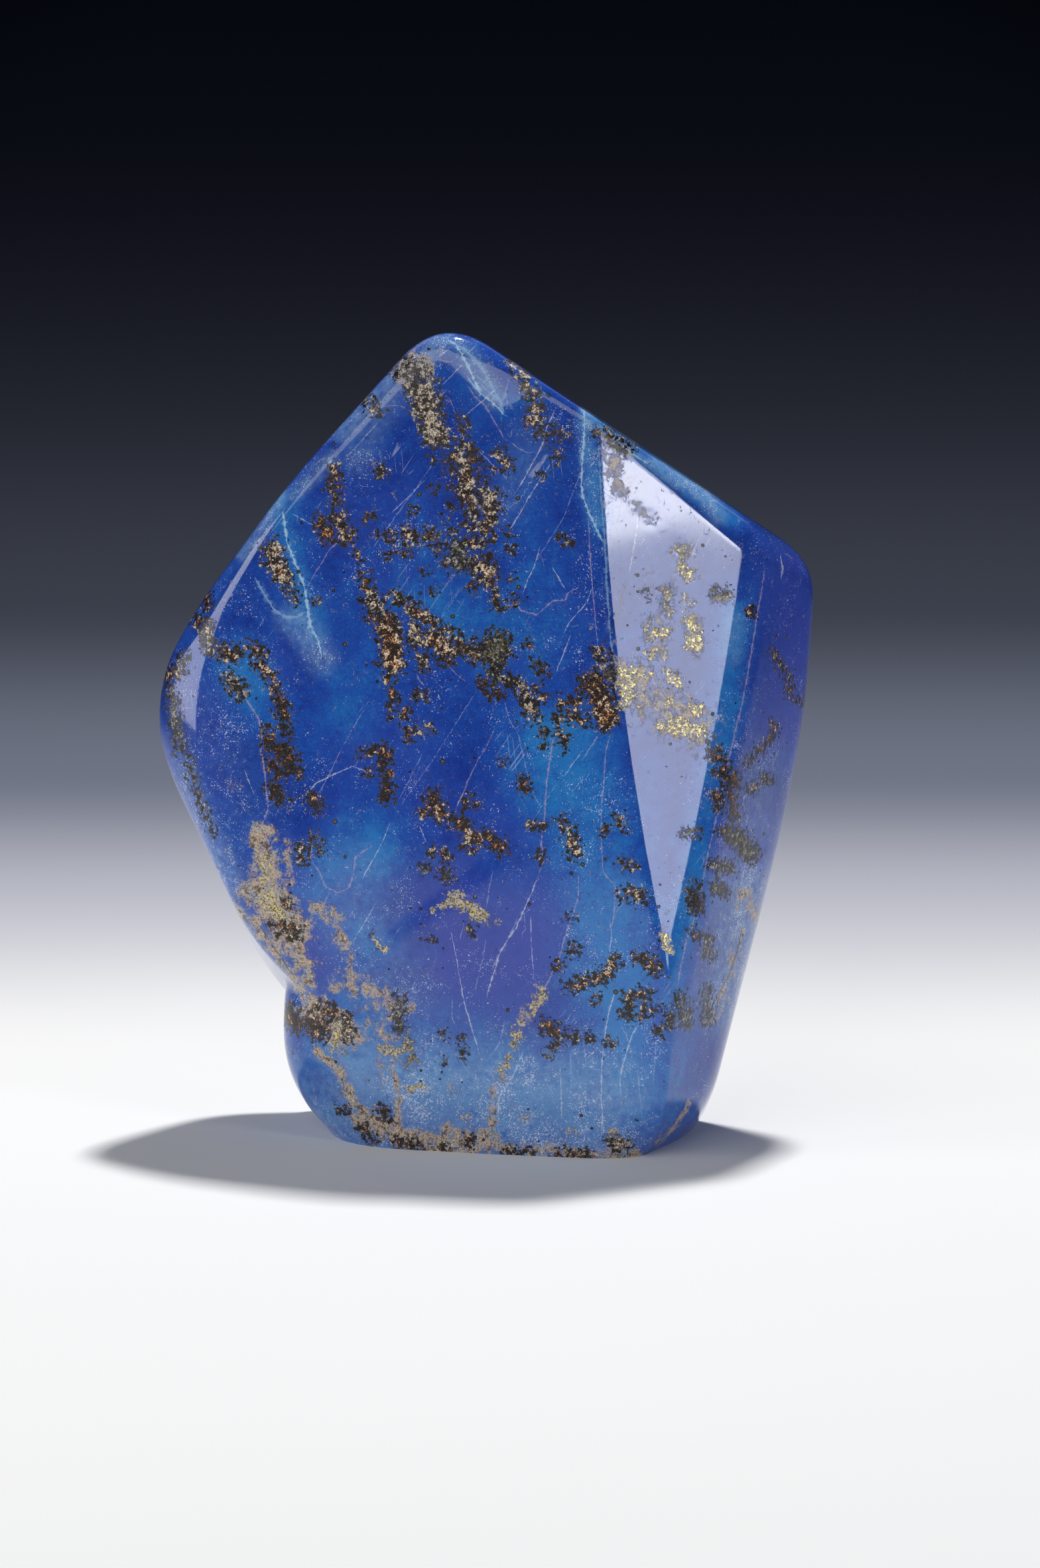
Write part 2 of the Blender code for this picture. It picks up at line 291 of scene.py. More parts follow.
LEFT_ORE = (
    Ore(((252, 1019), (269, 1012)), 9, 0.45),
    Ore(((277, 991),), 7, 0.3),
    Ore(((258, 1044), (264, 1085), (272, 1128)), 7, 0.5, 0.5),
    Ore(((282, 1140), (300, 1200), (320, 1258)), 3, 0.5, 0.5),
    Ore(((311, 898), (311, 913)), 6, 0.15),
    Ore(((297, 937), (311, 943)), 8, 0.3),
    Ore(((312, 955), (317, 982)), 8, 0.78),
    Ore(((333, 984), (353, 988)), 11, 0.36),
    Ore(((347, 1027), (361, 1041)), 13, 0.6, 0.3),
    Ore(((377, 978), (393, 986)), 8, 0.35),
    Ore(((389, 1003), (409, 1019)), 8, 0.25),
    Ore(((412, 1034), (418, 1049)), 8, 0.35),
    Ore(((424, 1064), (430, 1102)), 10, 0.04),
    Ore(((402, 1102),), 7, 0.1),
    Ore(((407, 1123), (430, 1132), (441, 1162)), 12, 0.03),
    Ore(((410, 1150), (418, 1167)), 8, 0.05),
    Ore(((411, 1183), (425, 1206)), 10, 0.04),
    Ore(((470, 1205), (479, 1217)), 9, 0.04),
)
RIGHT_ORE = (
    Ore(((911, 648), (932, 659), (953, 671)), 4, 0.4, 0.2),
    Ore(((898, 652), (921, 665), (944, 681)), 4, 0.28, 0.3),
    Ore(((1021, 830), (1037, 830)), 8, 0.75, 0.72),
    Ore(((1030, 857), (1039, 867)), 9, 0.7, 0.75),
    Ore(((1078, 902), (1099, 901)), 6, 0.7, 0.7),
    Ore(((1078, 892), (1092, 892)), 3, 0.05),
    Ore(((1006, 892), (1008, 920)), 8, 0.7, 0.7),
    Ore(((1031, 906), (1041, 910)), 6, 0.7, 0.8),
    Ore(((975, 936), (978, 959)), 5, 0.65, 0.7),
    Ore(((989, 954), (1005, 954)), 8, 0.7, 0.8),
    Ore(((1041, 938), (1048, 975)), 12, 0.7, 0.8),
    Ore(((981, 988), (999, 986)), 9, 0.7, 0.95),
    Ore(((943, 1016), (969, 1016)), 11, 0.6, 1.0),
    Ore(((944, 1034), (946, 1057)), 12, 0.6, 1.0),
    Ore(((960, 1065),), 6, 0.6, 1.0),
    Ore(((1009, 1020), (1023, 1033)), 9, 0.6, 1.0),
    Ore(((1010, 1061),), 8, 0.6, 1.0),
    Ore(((1043, 1070), (1055, 1072)), 9, 0.6, 1.0),
    Ore(((1017, 1096), (1051, 1102)), 14, 0.6, 1.0),
    Ore(((996, 1094),), 7, 0.6, 1.0),
    Ore(((1034, 1256), (1045, 1256)), 6, 0.5, 0.4),
    Ore(((1051, 1257),), 6, 0.05),
    Ore(((1133, 922),), 6, 0.08),
    Ore(((1074, 1140), (1081, 1147)), 7, 0.2),
    Ore(((1089, 1163), (1105, 1179)), 11, 0.1),
    Ore(((1080, 1199), (1083, 1215)), 8, 0.3, 0.2),
    Ore(((1102, 1195), (1107, 1232)), 7, 0.15),
    Ore(((1087, 1255), (1094, 1256)), 6, 0.2),
    Ore(((1104, 1258), (1118, 1270), (1131, 1287)), 14, 0.42, 0.45),
    Ore(((1152, 1175), (1158, 1176)), 6, 0.5),
    Ore(((1136, 1188),), 6, 0.3),
    Ore(((1077, 1306), (1099, 1310)), 8, 0.5, 0.3),
    Ore(((1079, 1337), (1089, 1345)), 8, 0.4, 0.4),
    Ore(((1046, 1340), (1050, 1368)), 10, 0.05),
    Ore(((1046, 1408),), 7, 0.08),
    Ore(((1066, 1416), (1068, 1438)), 8, 0.6, 0.4),
    Ore(((1027, 1507), (1034, 1540)), 9, 0.65, 0.5),
    Ore(((1066, 1494), (1066, 1540)), 6, 0.65, 0.4),
    Ore(((1164, 985), (1179, 1005), (1187, 1016), (1190, 1038), (1198, 1054), (1212, 1059)), 3, 0.12),
    Ore(((1072, 1118), (1084, 1133), (1096, 1160)), 3, 0.12),
    Ore(((1125, 1153), (1141, 1138), (1156, 1120), (1169, 1102), (1166, 1090)), 3, 0.2),
)
LOWER_ORE = (
    Ore(((864, 1487), (890, 1476), (918, 1469)), 9, 0.3),
    Ore(((920, 1462), (926, 1449)), 8, 0.34),
    Ore(((866, 1432),), 8, 0.15),
    Ore(((862, 1386),), 6, 0.1),
    Ore(((842, 1456),), 7, 0.15),
    Ore(((965, 1443), (985, 1459)), 10, 0.3),
    Ore(((949, 1506), (973, 1500)), 9, 0.3),
    Ore(((944, 1530),), 9, 0.05),
    Ore(((990, 1518),), 8, 0.06),
    Ore(((972, 1520), (966, 1535)), 6, 0.42),
    Ore(((997, 1413), (1011, 1429)), 9, 0.7, 0.8),
    Ore(((993, 1558), (1008, 1551), (1013, 1529)), 5, 0.45, 0.5),
    Ore(((863, 1566), (891, 1564)), 5, 0.35),
    Ore(((824, 1546), (838, 1559)), 9, 0.06),
    Ore(((899, 1508),), 7, 0.2),
    Ore(((919, 1573),), 6, 0.15),
    Ore(((819, 1495), (803, 1525)), 8, 0.65, 0.75),
    Ore(((786, 1549), (771, 1581)), 7, 0.65, 0.75),
    Ore(((765, 1599), (753, 1613)), 6, 0.65, 0.75),
    Ore(((851, 1559), (829, 1589)), 5, 0.6, 0.6),
    Ore(((792, 1686),), 6, 0.7, 1.0),
    Ore(((855, 1706), (869, 1706)), 5, 0.7, 1.0),
    Ore(((925, 1724), (939, 1727)), 10, 0.75),
    Ore(((702, 1684),), 6, 0.7, 0.9),
)
FOOT_ORE = (
    Ore(((402, 1300), (398, 1330)), 8, 0.6, 0.8),
    Ore(((403, 1354), (421, 1378)), 14, 0.6, 0.9),
    Ore(((430, 1362),), 8, 0.2),
    Ore(((418, 1394), (447, 1405)), 10, 0.38),
    Ore(((474, 1266), (480, 1279)), 8, 0.5, 0.5),
    Ore(((452, 1281), (458, 1295)), 8, 0.8),
    Ore(((565, 1415), (577, 1431)), 7, 0.6, 0.9),
    Ore(((434, 1528), (452, 1546)), 13, 0.05),
    Ore(((468, 1540), (486, 1558)), 13, 0.15),
    Ore(((483, 1521), (505, 1531)), 10, 0.36),
    Ore(((512, 1542), (506, 1564), (500, 1579)), 7, 0.6, 1.0),
    Ore(((521, 1534), (527, 1562)), 7, 0.4),
    Ore(((600, 1507), (604, 1549)), 7, 0.55, 0.6),
    Ore(((613, 1570), (621, 1604)), 8, 0.45, 0.7),
    Ore(((579, 1580), (603, 1590)), 9, 0.65, 0.75),
    Ore(((613, 1640), (645, 1641)), 5, 0.6, 1.0),
    Ore(((684, 1638), (687, 1649)), 4, 0.6, 1.0),
    Ore(((573, 1675), (581, 1683)), 8, 0.04),
    Ore(((547, 1703), (561, 1717)), 7, 0.1),
    Ore(((600, 1722), (629, 1730)), 7, 0.08),
    Ore(((658, 1728), (668, 1729)), 5, 0.1),
    Ore(((706, 1720),), 6, 0.1),
    Ore(((764, 1737), (801, 1739)), 5, 0.04),
    Ore(((840, 1740), (887, 1744)), 5, 0.04),
    Ore(((515, 1676),), 7, 0.1),
)
# Single grains: place and radius, all of one tone and gilt.
ORE_DOTS = (
    (651, 696, 4), (623, 773, 4), (767, 805, 5), (770, 827, 5), (771, 874, 4), (671, 788, 4),
    (656, 736, 4), (680, 764, 4), (700, 793, 4), (732, 730, 5), (721, 710, 5), (741, 709, 4),
    (858, 818, 6), (847, 812, 4), (817, 717, 4), (852, 657, 4), (585, 839, 4), (568, 806, 5),
    (681, 1237, 4), (563, 1413, 4), (572, 1429, 4), (650, 1416, 4), (708, 1404, 4), (672, 1561, 4),
    (697, 1572, 4), (700, 1591, 4), (667, 1600, 4), (774, 906, 6), (975, 896, 5), (478, 905, 5),
    (640, 862, 4), (655, 892, 4), (820, 1128, 4), (760, 1150, 4),
)
DOT_TONE = 0.3
DOT_GILT = 0.3
ALL_ORE = CROWN_ORE + MIDDLE_ORE + LEFT_ORE + RIGHT_ORE + LOWER_ORE + FOOT_ORE + tuple(
    Ore(((x, y),), reach, DOT_TONE, DOT_GILT) for x, y, reach in ORE_DOTS
)

# Tan and grey crust.
CRUST = (
    Cloud(((394, 1262), (402, 1300), (404, 1340)), 20, 1.0),
    Cloud(((432, 1268), (440, 1330)), 8, 0.7),
    Cloud(((392, 1342), (420, 1372), (442, 1408)), 28, 1.15),
    Cloud(((452, 1436), (464, 1480)), 14, 0.95),
    Cloud(((472, 1370), (500, 1378), (512, 1410), (520, 1430)), 14, 0.75),
    Cloud(((522, 1430), (526, 1460)), 6, 0.7),
    Cloud(((516, 1480), (548, 1492), (604, 1518)), 18, 0.75),
    Cloud(((556, 1500), (590, 1562)), 24, 0.6),
    Cloud(((470, 1520), (524, 1562)), 24, 0.95),
    Cloud(((473, 1583), (493, 1600), (512, 1620), (523, 1642), (535, 1662), (551, 1680)), 8, 0.95),
    Cloud(((591, 1604), (599, 1642), (602, 1664), (596, 1694)), 7, 0.85),
    Cloud(((571, 1600), (582, 1631)), 5, 0.7),
    Cloud(((545, 1684), (580, 1702), (640, 1724), (700, 1730), (737, 1718)), 17, 1.0),
    Cloud(((737, 1730), (805, 1734), (880, 1741), (960, 1742)), 8, 0.95),
    Cloud(((669, 1706), (730, 1712)), 11, 0.85),
    Cloud(((926, 1712), (940, 1732)), 12, 0.9),
    Cloud(((342, 1364), (379, 1390), (410, 1429), (443, 1479), (471, 1512), (490, 1536)), 9, 0.75),
    Cloud(((898, 651), (925, 668), (948, 684)), 7, 0.8),
    Cloud(((914, 668), (922, 700), (930, 738)), 15, 0.62),
    Cloud(((945, 1022), (990, 1062), (1045, 1092)), 36, 0.78),
    Cloud(((1028, 832), (1034, 864)), 14, 0.6),
    Cloud(((1005, 892), (1000, 945), (985, 985)), 15, 0.6),
    Cloud(((1078, 902), (1100, 902)), 9, 0.7),
    Cloud(((1044, 935), (1050, 982)), 14, 0.6),
    Cloud(((960, 766), (980, 782)), 12, 0.55),
    Cloud(((1118, 1350), (1142, 1382)), 13, 0.7),
    Cloud(((1040, 1661), (1021, 1696), (989, 1726)), 4, 0.8),
    Cloud(((606, 556), (622, 545), (640, 560)), 20, 0.75),
    Cloud(((812, 1490), (790, 1540), (764, 1598), (745, 1650), (742, 1700)), 10, 0.5),
    Cloud(((1120, 1396), (1099, 1471), (1078, 1538)), 9, 0.55),
)
# Places where pale specks crowd together and lay a pale haze. In places this haze is painted light: painted
# highlights at the tip, down the left bevel and along the top right crease, and a painted reflection of the
# pale floor low on the front, the left flank and the right side.
PALE_AND_SHEEN = (
    Cloud(((664, 516), (600, 572), (524, 650)), 17, 0.9),
    Cloud(((500, 690), (446, 744)), 10, 0.7),
    Cloud(((590, 600), (560, 640), (540, 690)), 22, 0.45),
    Cloud(((426, 748), (394, 800), (366, 838)), 8, 0.9),
    Cloud(((300, 1085), (345, 1160), (360, 1230)), 46, 0.16),
    Cloud(((280, 1160), (318, 1260), (352, 1340)), 20, 0.55),
    Cloud(((342, 1362), (400, 1420), (460, 1500)), 14, 0.6),
    Cloud(((540, 1330), (560, 1420), (600, 1500)), 50, 0.35),
    Cloud(((560, 1665), (700, 1680), (880, 1685)), 80, 1.25),
    Cloud(((1130, 1330), (1110, 1420), (1090, 1520)), 34, 0.8),
    Cloud(((1155, 1150), (1140, 1250)), 28, 0.3),
    Cloud(((884, 618), (890, 640)), 9, 1.0),
    Cloud(((905, 645), (947, 679), (982, 703)), 6, 0.9),
    Cloud(((984, 700), (1023, 724), (1064, 749), (1082, 778)), 11, 1.2),
    Cloud(((440, 936), (466, 960), (484, 994)), 19, 0.8),
    Cloud(((800, 660), (790, 700), (760, 760)), 26, 0.3),
    Cloud(((560, 1660), (700, 1700), (900, 1700)), 60, 0.4),
    Cloud(((880, 640), (888, 700), (898, 780)), 12, 0.35),
    Cloud(((676, 512), (690, 520)), 9, 1.0),
    Cloud(((700, 530), (725, 560), (745, 600)), 14, 0.7),
    Cloud(((1110, 935), (1106, 990)), 12, 0.5),
)
# Lighter blue in the ground; the cloud down the falling tip is a painted reflection.
AZURE = (
    Cloud(((560, 1260), (500, 1330)), 60, 0.75),
    Cloud(((520, 1560), (640, 1620), (780, 1640), (960, 1640)), 70, 0.85),
    Cloud(((840, 1130), (900, 1300), (920, 1480), (960, 1600)), 75, 0.95),
    Cloud(((620, 880), (700, 930), (800, 980)), 60, 0.6),
    Cloud(((365, 1010), (400, 1080)), 40, 0.8),
    Cloud(((425, 760), (440, 840), (470, 950)), 24, 0.8),
    # Painted reflection in the falling tip.
    Cloud(((690, 540), (740, 600), (800, 600)), 36, 0.5),
    Cloud(((440, 1620), (500, 1690)), 50, 0.45),
    Cloud(((890, 624), (950, 676), (1000, 708), (1060, 748), (1100, 784)), 15, 1.1),
    Cloud(((884, 640), (892, 700), (900, 790)), 14, 0.9),
    Cloud(((1110, 930), (1092, 1060), (1060, 1230), (1030, 1400), (1010, 1520)), 24, 0.9),
    Cloud(((330, 1260), (470, 1350), (560, 1420)), 40, 0.5),
    Cloud(((780, 700), (800, 860)), 40, 0.35),
    Cloud(((540, 1020), (560, 1200)), 60, 0.3),
)
# Violet in the ground. Besides the stone's own violet tone it paints reflections: the dark violet patch low
# in the middle of the front is a painted reflection of something dark, and the violet on the right side,
# the left edge and the foot is a painted reflection of the surroundings.
VIOLET_AND_REFLECTION = (
    # Painted reflection of something dark, low in the middle of the front.
    Cloud(((690, 1370), (700, 1460), (770, 1470), (790, 1400)), 62, 1.0),
    Cloud(((1190, 860), (1200, 1000), (1190, 1100)), 44, 1.0),
    Cloud(((600, 1120), (640, 1220), (740, 1240)), 50, 0.4),
    Cloud(((470, 1420), (490, 1470)), 26, 0.6),
    Cloud(((300, 1060), (330, 1200)), 30, 0.5),
    Cloud(((1140, 1240), (1110, 1440)), 40, 0.4),
    Cloud(((530, 740), (600, 770)), 50, 0.25),
)
# Lower down the violet, and with it the painted dark reflection, stops sharply at this line.
VIOLET_BORDER = ((872, 1317), (872, 1351), (865, 1378), (848, 1426), (832, 1469), (807, 1519), (788, 1546))

# Calcite veins.
WHITE_VEINS = (
    Vein(((683, 522), (655, 542)), 2.2),
    Vein(((700, 547), (684, 563), (666, 582)), 2.6),
    Vein(((758, 578), (728, 604), (697, 631)), 1.6),
    Vein(((573, 633), (545, 665), (520, 692)), 1.6),
    Vein(((646, 718), (615, 750), (587, 777)), 1.5),
    Vein(((722, 516), (700, 539)), 1.6),
    Vein(((837, 618), (830, 632), (823, 648), (820, 665), (812, 682), (789, 724), (774, 747)), 2.8),
    Vein(((837, 692), (817, 718), (795, 755), (781, 780), (767, 800)), 3.0),
    Vein(((815, 822), (806, 853), (794, 878), (787, 900)), 2.6),
    Vein(((831, 853), (843, 873), (854, 892)), 2.8),
    Vein(((848, 958), (857, 941), (871, 924), (885, 908), (893, 885)), 2.2),
    Vein(((861, 955), (851, 983), (837, 1017)), 2.4),
    Vein(((460, 1212), (463, 1195), (477, 1181), (499, 1170), (530, 1156), (547, 1161), (564, 1172)), 2.8),
    Vein(((811, 1322), (800, 1351), (786, 1381), (778, 1400), (768, 1413), (754, 1437), (746, 1464),
          (738, 1488), (733, 1507)), 3.6),
    Vein(((882, 1129), (868, 1146), (848, 1174)), 1.8),
    Vein(((706, 1180), (687, 1220)), 1.8),
    Vein(((631, 1242), (644, 1274)), 1.8),
    Vein(((589, 1237), (578, 1268), (564, 1293), (544, 1330)), 2.0),
    Vein(((569, 1358), (553, 1386), (530, 1425)), 2.0),
    Vein(((800, 1378), (801, 1421), (805, 1482)), 1.8),
    Vein(((679, 1402), (687, 1437), (693, 1475), (701, 1517), (714, 1560), (725, 1597)), 2.2),
    Vein(((791, 1581), (772, 1626), (751, 1656), (751, 1704)), 2.6),
    Vein(((844, 1602), (846, 1648), (847, 1696)), 2.0),
    Vein(((927, 1495), (917, 1530), (911, 1567), (907, 1608), (906, 1648), (909, 1696), (911, 1715)), 3.2),
    Vein(((970, 1538), (954, 1557), (946, 1584), (938, 1608), (934, 1634), (938, 1656)), 2.8),
    Vein(((919, 1385), (922, 1412), (918, 1442)), 2.0),
    Vein(((962, 753), (961, 791), (954, 835), (948, 868)), 2.4),
    Vein(((367, 1158), (384, 1200)), 2.0),
    Vein(((436, 773), (457, 784), (480, 796)), 2.0),
    Vein(((1176, 836), (1180, 856), (1178, 876)), 5.0),
)
# Pinkish veins.
PINK_VEINS = (
    Vein(((702, 578), (716, 598), (728, 608), (742, 629), (753, 648), (761, 664)), 3.4),
    Vein(((716, 676), (730, 688), (744, 702), (761, 718), (767, 732)), 2.6),
    Vein(((655, 542), (683, 546), (702, 554)), 3.0),
    Vein(((677, 599), (682, 612), (688, 626)), 3.6),
    Vein(((764, 539), (772, 548), (782, 558)), 3.0),
    Vein(((887, 778), (889, 830), (893, 881), (898, 944), (902, 977)), 2.8),
    Vein(((1153, 853), (1148, 893), (1143, 919), (1138, 952), (1133, 983), (1125, 1031), (1115, 1077),
          (1102, 1133), (1092, 1171), (1082, 1222), (1072, 1268), (1061, 1319), (1049, 1380), (1037, 1409),
          (1020, 1490)), 4.2),
    Vein(((837, 1101), (831, 1132), (826, 1163), (824, 1180), (821, 1234), (816, 1271), (820, 1295),
          (811, 1322)), 3.4),
    Vein(((921, 1104), (913, 1135), (911, 1174), (907, 1213), (906, 1253), (909, 1314), (928, 1338),
          (926, 1381), (920, 1408)), 2.6),
    Vein(((624, 1006), (632, 1025), (643, 1040)), 3.0),
    Vein(((674, 1003), (688, 1017), (700, 1025), (705, 1031)), 3.4),
    Vein(((756, 905), (767, 917), (778, 910), (787, 922), (809, 927), (823, 916), (834, 906), (854, 905),
          (855, 895), (876, 884)), 3.6),
    Vein(((747, 1096), (736, 1121), (716, 1155), (702, 1185), (691, 1211), (685, 1228)), 2.0),
    Vein(((367, 1050), (379, 1067), (390, 1084), (395, 1108), (393, 1130), (398, 1156), (401, 1187),
          (404, 1220), (395, 1245), (391, 1260)), 4.4),
    Vein(((466, 1245), (471, 1271), (468, 1296), (480, 1313), (491, 1338), (510, 1347), (527, 1338),
          (533, 1318), (536, 1293), (564, 1273)), 3.6),
    Vein(((536, 826), (508, 819), (497, 829), (482, 854), (468, 876), (460, 896)), 2.2),
    Vein(((872, 1317), (872, 1351), (865, 1378), (856, 1400), (848, 1426), (843, 1448), (832, 1469),
          (823, 1487), (807, 1519), (788, 1546)), 2.6),
    Vein(((935, 1541), (949, 1573), (954, 1602)), 2.4),
    Vein(((737, 1608), (748, 1636), (751, 1664)), 2.4),
    Vein(((1199, 845), (1186, 836), (1176, 833)), 1.6),
)
# Pale lines along the falling corner, the left pocket and the right facet. The line down the falling corner
# and the one along the top right crease are painted highlights.
PALE_AND_HIGHLIGHT_LINES = (
    Vein(((674, 511), (688, 520), (702, 545), (714, 570), (725, 595), (742, 606), (763, 628)), 4.6),
    Vein(((426, 770), (430, 795), (433, 820), (447, 854), (458, 882), (462, 904), (465, 930), (469, 947),
          (481, 969), (485, 993)), 4.5),
    Vein(((880, 617), (882, 637), (880, 660), (878, 693), (876, 727), (878, 747), (885, 766), (896, 791),
          (909, 818)), 4.0),
    Vein(((903, 643), (925, 661), (947, 679), (966, 693), (990, 706)), 3.2),
)
# Broad, faint pale lines. The first and the last, down the falling corner, are a painted highlight.
SOFT_AND_HIGHLIGHT_LINES = (
    Vein(((688, 518), (700, 528), (716, 543), (728, 556), (742, 584), (753, 604), (761, 624)), 7.0),
    Vein(((384, 870), (398, 896), (412, 918), (429, 931), (446, 931), (464, 921)), 6.0),
    Vein(((902, 661), (907, 753), (911, 804), (915, 881), (920, 957), (925, 1000)), 4.0),
    Vein(((700, 560), (716, 585), (740, 606)), 3.0),
)
# Cracks lined with brown ore.
DARK_CRACKS = (
    Vein(((1120, 1396), (1112, 1434), (1099, 1471), (1086, 1495), (1076, 1541)), 3.6),
    Vein(((1059, 1592), (1053, 1613), (1049, 1637)), 3.2),
    Vein(((1080, 1605), (1069, 1637)), 3.0),
    Vein(((949, 866), (947, 875), (939, 893), (934, 919), (924, 944), (911, 970), (901, 993)), 4.2),
    Vein(((948, 684), (944, 720), (936, 758), (928, 809), (924, 832)), 2.2),
    Vein(((379, 1377), (410, 1425), (444, 1476)), 3.0),
    Vein(((1072, 1118), (1084, 1133), (1095, 1159), (1105, 1161), (1125, 1153)), 2.6),
)
# Single fine scratches.
FINE_SCRATCHES = (
    Vein(((778, 561), (767, 573), (761, 592), (765, 606), (764, 623)), 1.8),
    Vein(((772, 643), (771, 660), (775, 671)), 1.8),
    Vein(((767, 664), (778, 674), (795, 683), (812, 682)), 1.8),
    Vein(((568, 615), (587, 612), (604, 612), (617, 619)), 1.8),
    Vein(((660, 690), (610, 760), (560, 830)), 1.2),
    Vein(((880, 700), (850, 780), (800, 860)), 1.2),
    Vein(((700, 880), (660, 940)), 1.2),
    Vein(((760, 1056), (767, 1084), (781, 1107), (789, 1141), (801, 1191), (817, 1222)), 2.0),
    Vein(((910, 1101), (895, 1120), (875, 1150)), 1.8),
    Vein(((744, 1309), (736, 1346), (733, 1373)), 2.0),
    Vein(((733, 1413), (727, 1450), (715, 1499)), 1.8),
    Vein(((682, 1496), (681, 1535), (692, 1555)), 1.8),
    Vein(((701, 1386), (691, 1426)), 1.6),
    Vein(((783, 1380), (769, 1409), (753, 1436), (740, 1468)), 1.6),
    Vein(((731, 1605), (753, 1575), (762, 1535)), 2.0),
    Vein(((879, 1567), (885, 1613), (882, 1634)), 1.8),
    Vein(((560, 1050), (520, 1120), (480, 1200)), 1.2),
    Vein(((640, 1130), (600, 1210)), 1.2),
    Vein(((720, 1040), (650, 1150), (600, 1220)), 1.0),
    Vein(((840, 1180), (790, 1260)), 1.2),
    Vein(((500, 1340), (470, 1400)), 1.4),
    Vein(((860, 1580), (862, 1660)), 1.6),
    Vein(((960, 1600), (968, 1690)), 1.6),
    Vein(((990, 1560), (984, 1640)), 1.4),
    Vein(((640, 1560), (652, 1660)), 1.4),
)
# How each set of lines is drawn, veins and painted highlights alike: its colour, how strongly
# it covers the ground, how soft its edges are and how much broader it is than laid out.
LineSet = namedtuple("LineSet", "veins tint strength softness breadth")
LINE_SETS = {
    "soft": LineSet(SOFT_AND_HIGHLIGHT_LINES, "pale_blue", 0.6, 0.7, 1.7),
    "pale": LineSet(PALE_AND_HIGHLIGHT_LINES, "vein_pale", 0.85, 0.6, 1.8),
    "scratch": LineSet(FINE_SCRATCHES, "vein_white", 0.28, 0.5, 1.0),
    "white": LineSet(WHITE_VEINS, "vein_white", 0.62, 0.6, 1.0),
    "pink": LineSet(PINK_VEINS, "vein_pink", 0.55, 0.6, 1.0),
    "dark": LineSet(DARK_CRACKS, "ore_brown", 0.75, 0.5, 1.0),
}
CLOUD_SETS = {"crust": CRUST, "pale": PALE_AND_SHEEN, "azure": AZURE, "violet": VIOLET_AND_REFLECTION}

# Long scratches: across and along each way, and how much of the stone they cover.
SCRATCH_WAYS = (
    ((0.82, 0.0, -0.57), (0.57, 0.0, 0.82), 0.40),
    ((0.99, 0.0, 0.10), (-0.10, 0.0, 0.99), 0.30),
)

# How marks reach out and fade: ore in millimetres, the others in picture points.
EDGE_LEAST = -8.0
EDGE_MOST = 2.0
TONE_PULL = 4.0
PULL_LEAST = -4.0
PULL_MOST = 1.0
PLAIN_WEIGHT = 1.0e-6
PLAIN_ORE = 0.3
CLOUD_FADE = 0.5
VEIN_REACH = 12.0
VEIN_TAPER = 16.0
BORDER_EASE = 10.0
BORDER_ENDS = 8.0

# Marks of the front are carried through to the back, shifted by so many picture points.
THROUGH_SHIFT = np.array((70.0, -40.0))
THROUGH_START = 0.05
THROUGH_SPAN = 0.5

# Relief.
WAVE_LENGTH = 14.0 * MM
WAVE_HEIGHT = 0.03 * MM
ORE_DEPTH = 0.012 * MM
ORE_EDGE = 0.4
CRUST_DEPTH = 0.02 * MM

# Noise lies around its middle. Each noise has its waves per millimetre, its detail and its
# roughness, and the two that bend a pattern have their reach in millimetres before them.
NOISE_MIDDLE = 0.5
GROUND_BEND = (6.0, 0.10)
BROAD_CLOUDS = (0.075, 3.0, 0.55)
MIDDLE_CLOUDS = (0.40, 5.0, 0.62)
FINE_MOTTLE = (2.6, 4.0, 0.7)
VIOLET_CLOUDS = (0.06, 2.0)
SPECK_GRAINS = (4.2, 2.0, 0.6)
SPECK_CROWDS = (0.13, 3.0, 0.6)
SPECK_CLUSTERS = (0.75, 3.0, 0.65)
SCRATCH_LINES = (1.0, 0.0)
SCRATCH_BREAKS = (0.10, 3.0, 0.6)
VEIN_SWAY = (0.8, 4.0, 0.7)
VEIN_SWELL = (1.3, 3.0, 0.65)
ORE_RAG = (0.85, 6.0, 0.78)
ORE_REGIONS = (0.85, 3.0, 0.6)
ORE_PLATES = (1.9, 3.0, 0.65)
ORE_RIM_RAG = (1.7, 3.0, 0.6)
ORE_PEPPER = (1.15, 4.0, 0.72)
CRUST_BEND = (1.2, 0.7, 3.0)
CRUST_RAG = (0.55, 6.0, 0.75)
CRUST_TINTS = (0.6, 4.0, 0.6)
CRUST_GRAINS = (3.2, 3.0, 0.75)
CRUST_UMBER = (0.9, 4.0, 0.7)
CRUST_GLINTS = (1.9, 2.0)
DULL_PATCHES = (0.2, 4.0, 0.6)

# Blue ground: the weight of each cloud in its level, and the levels between which one blue
# turns into the next.
AZURE_WEIGHT = 0.46
BROAD_WEIGHT = 0.75
MIDDLE_WEIGHT = 0.62
FINE_WEIGHT = 0.72
TO_MIDDLE_BLUE = (0.79, 1.24)
TO_AZURE = (1.12, 1.62)
TO_VIOLET = (0.56, 0.74, 0.0, 0.35)
VIOLET_GRAIN = 1.1
VIOLET_SHARE = 0.8

# Pale specks.
CROWD_WEIGHT = 0.45
CLUSTER_WEIGHT = 0.35
CROWDING_WEIGHT = 0.075
HAZE_AND_SHEEN_PATCHES = 3.0
SPECK_EDGE = (0.675, 0.75)

# Long scratches: how fine the pattern is across, into the depth and along, in waves per
# millimetre, how thin its lines are, and where they are broken off.
SCRATCH_FINENESS = (0.42, 0.05, 0.018)
SCRATCH_EDGE = (0.011, 0.003)
SCRATCH_LIMIT = 0.72
SCRATCH_SHARE = 0.3
SCRATCH_END = (0.0, 0.06)

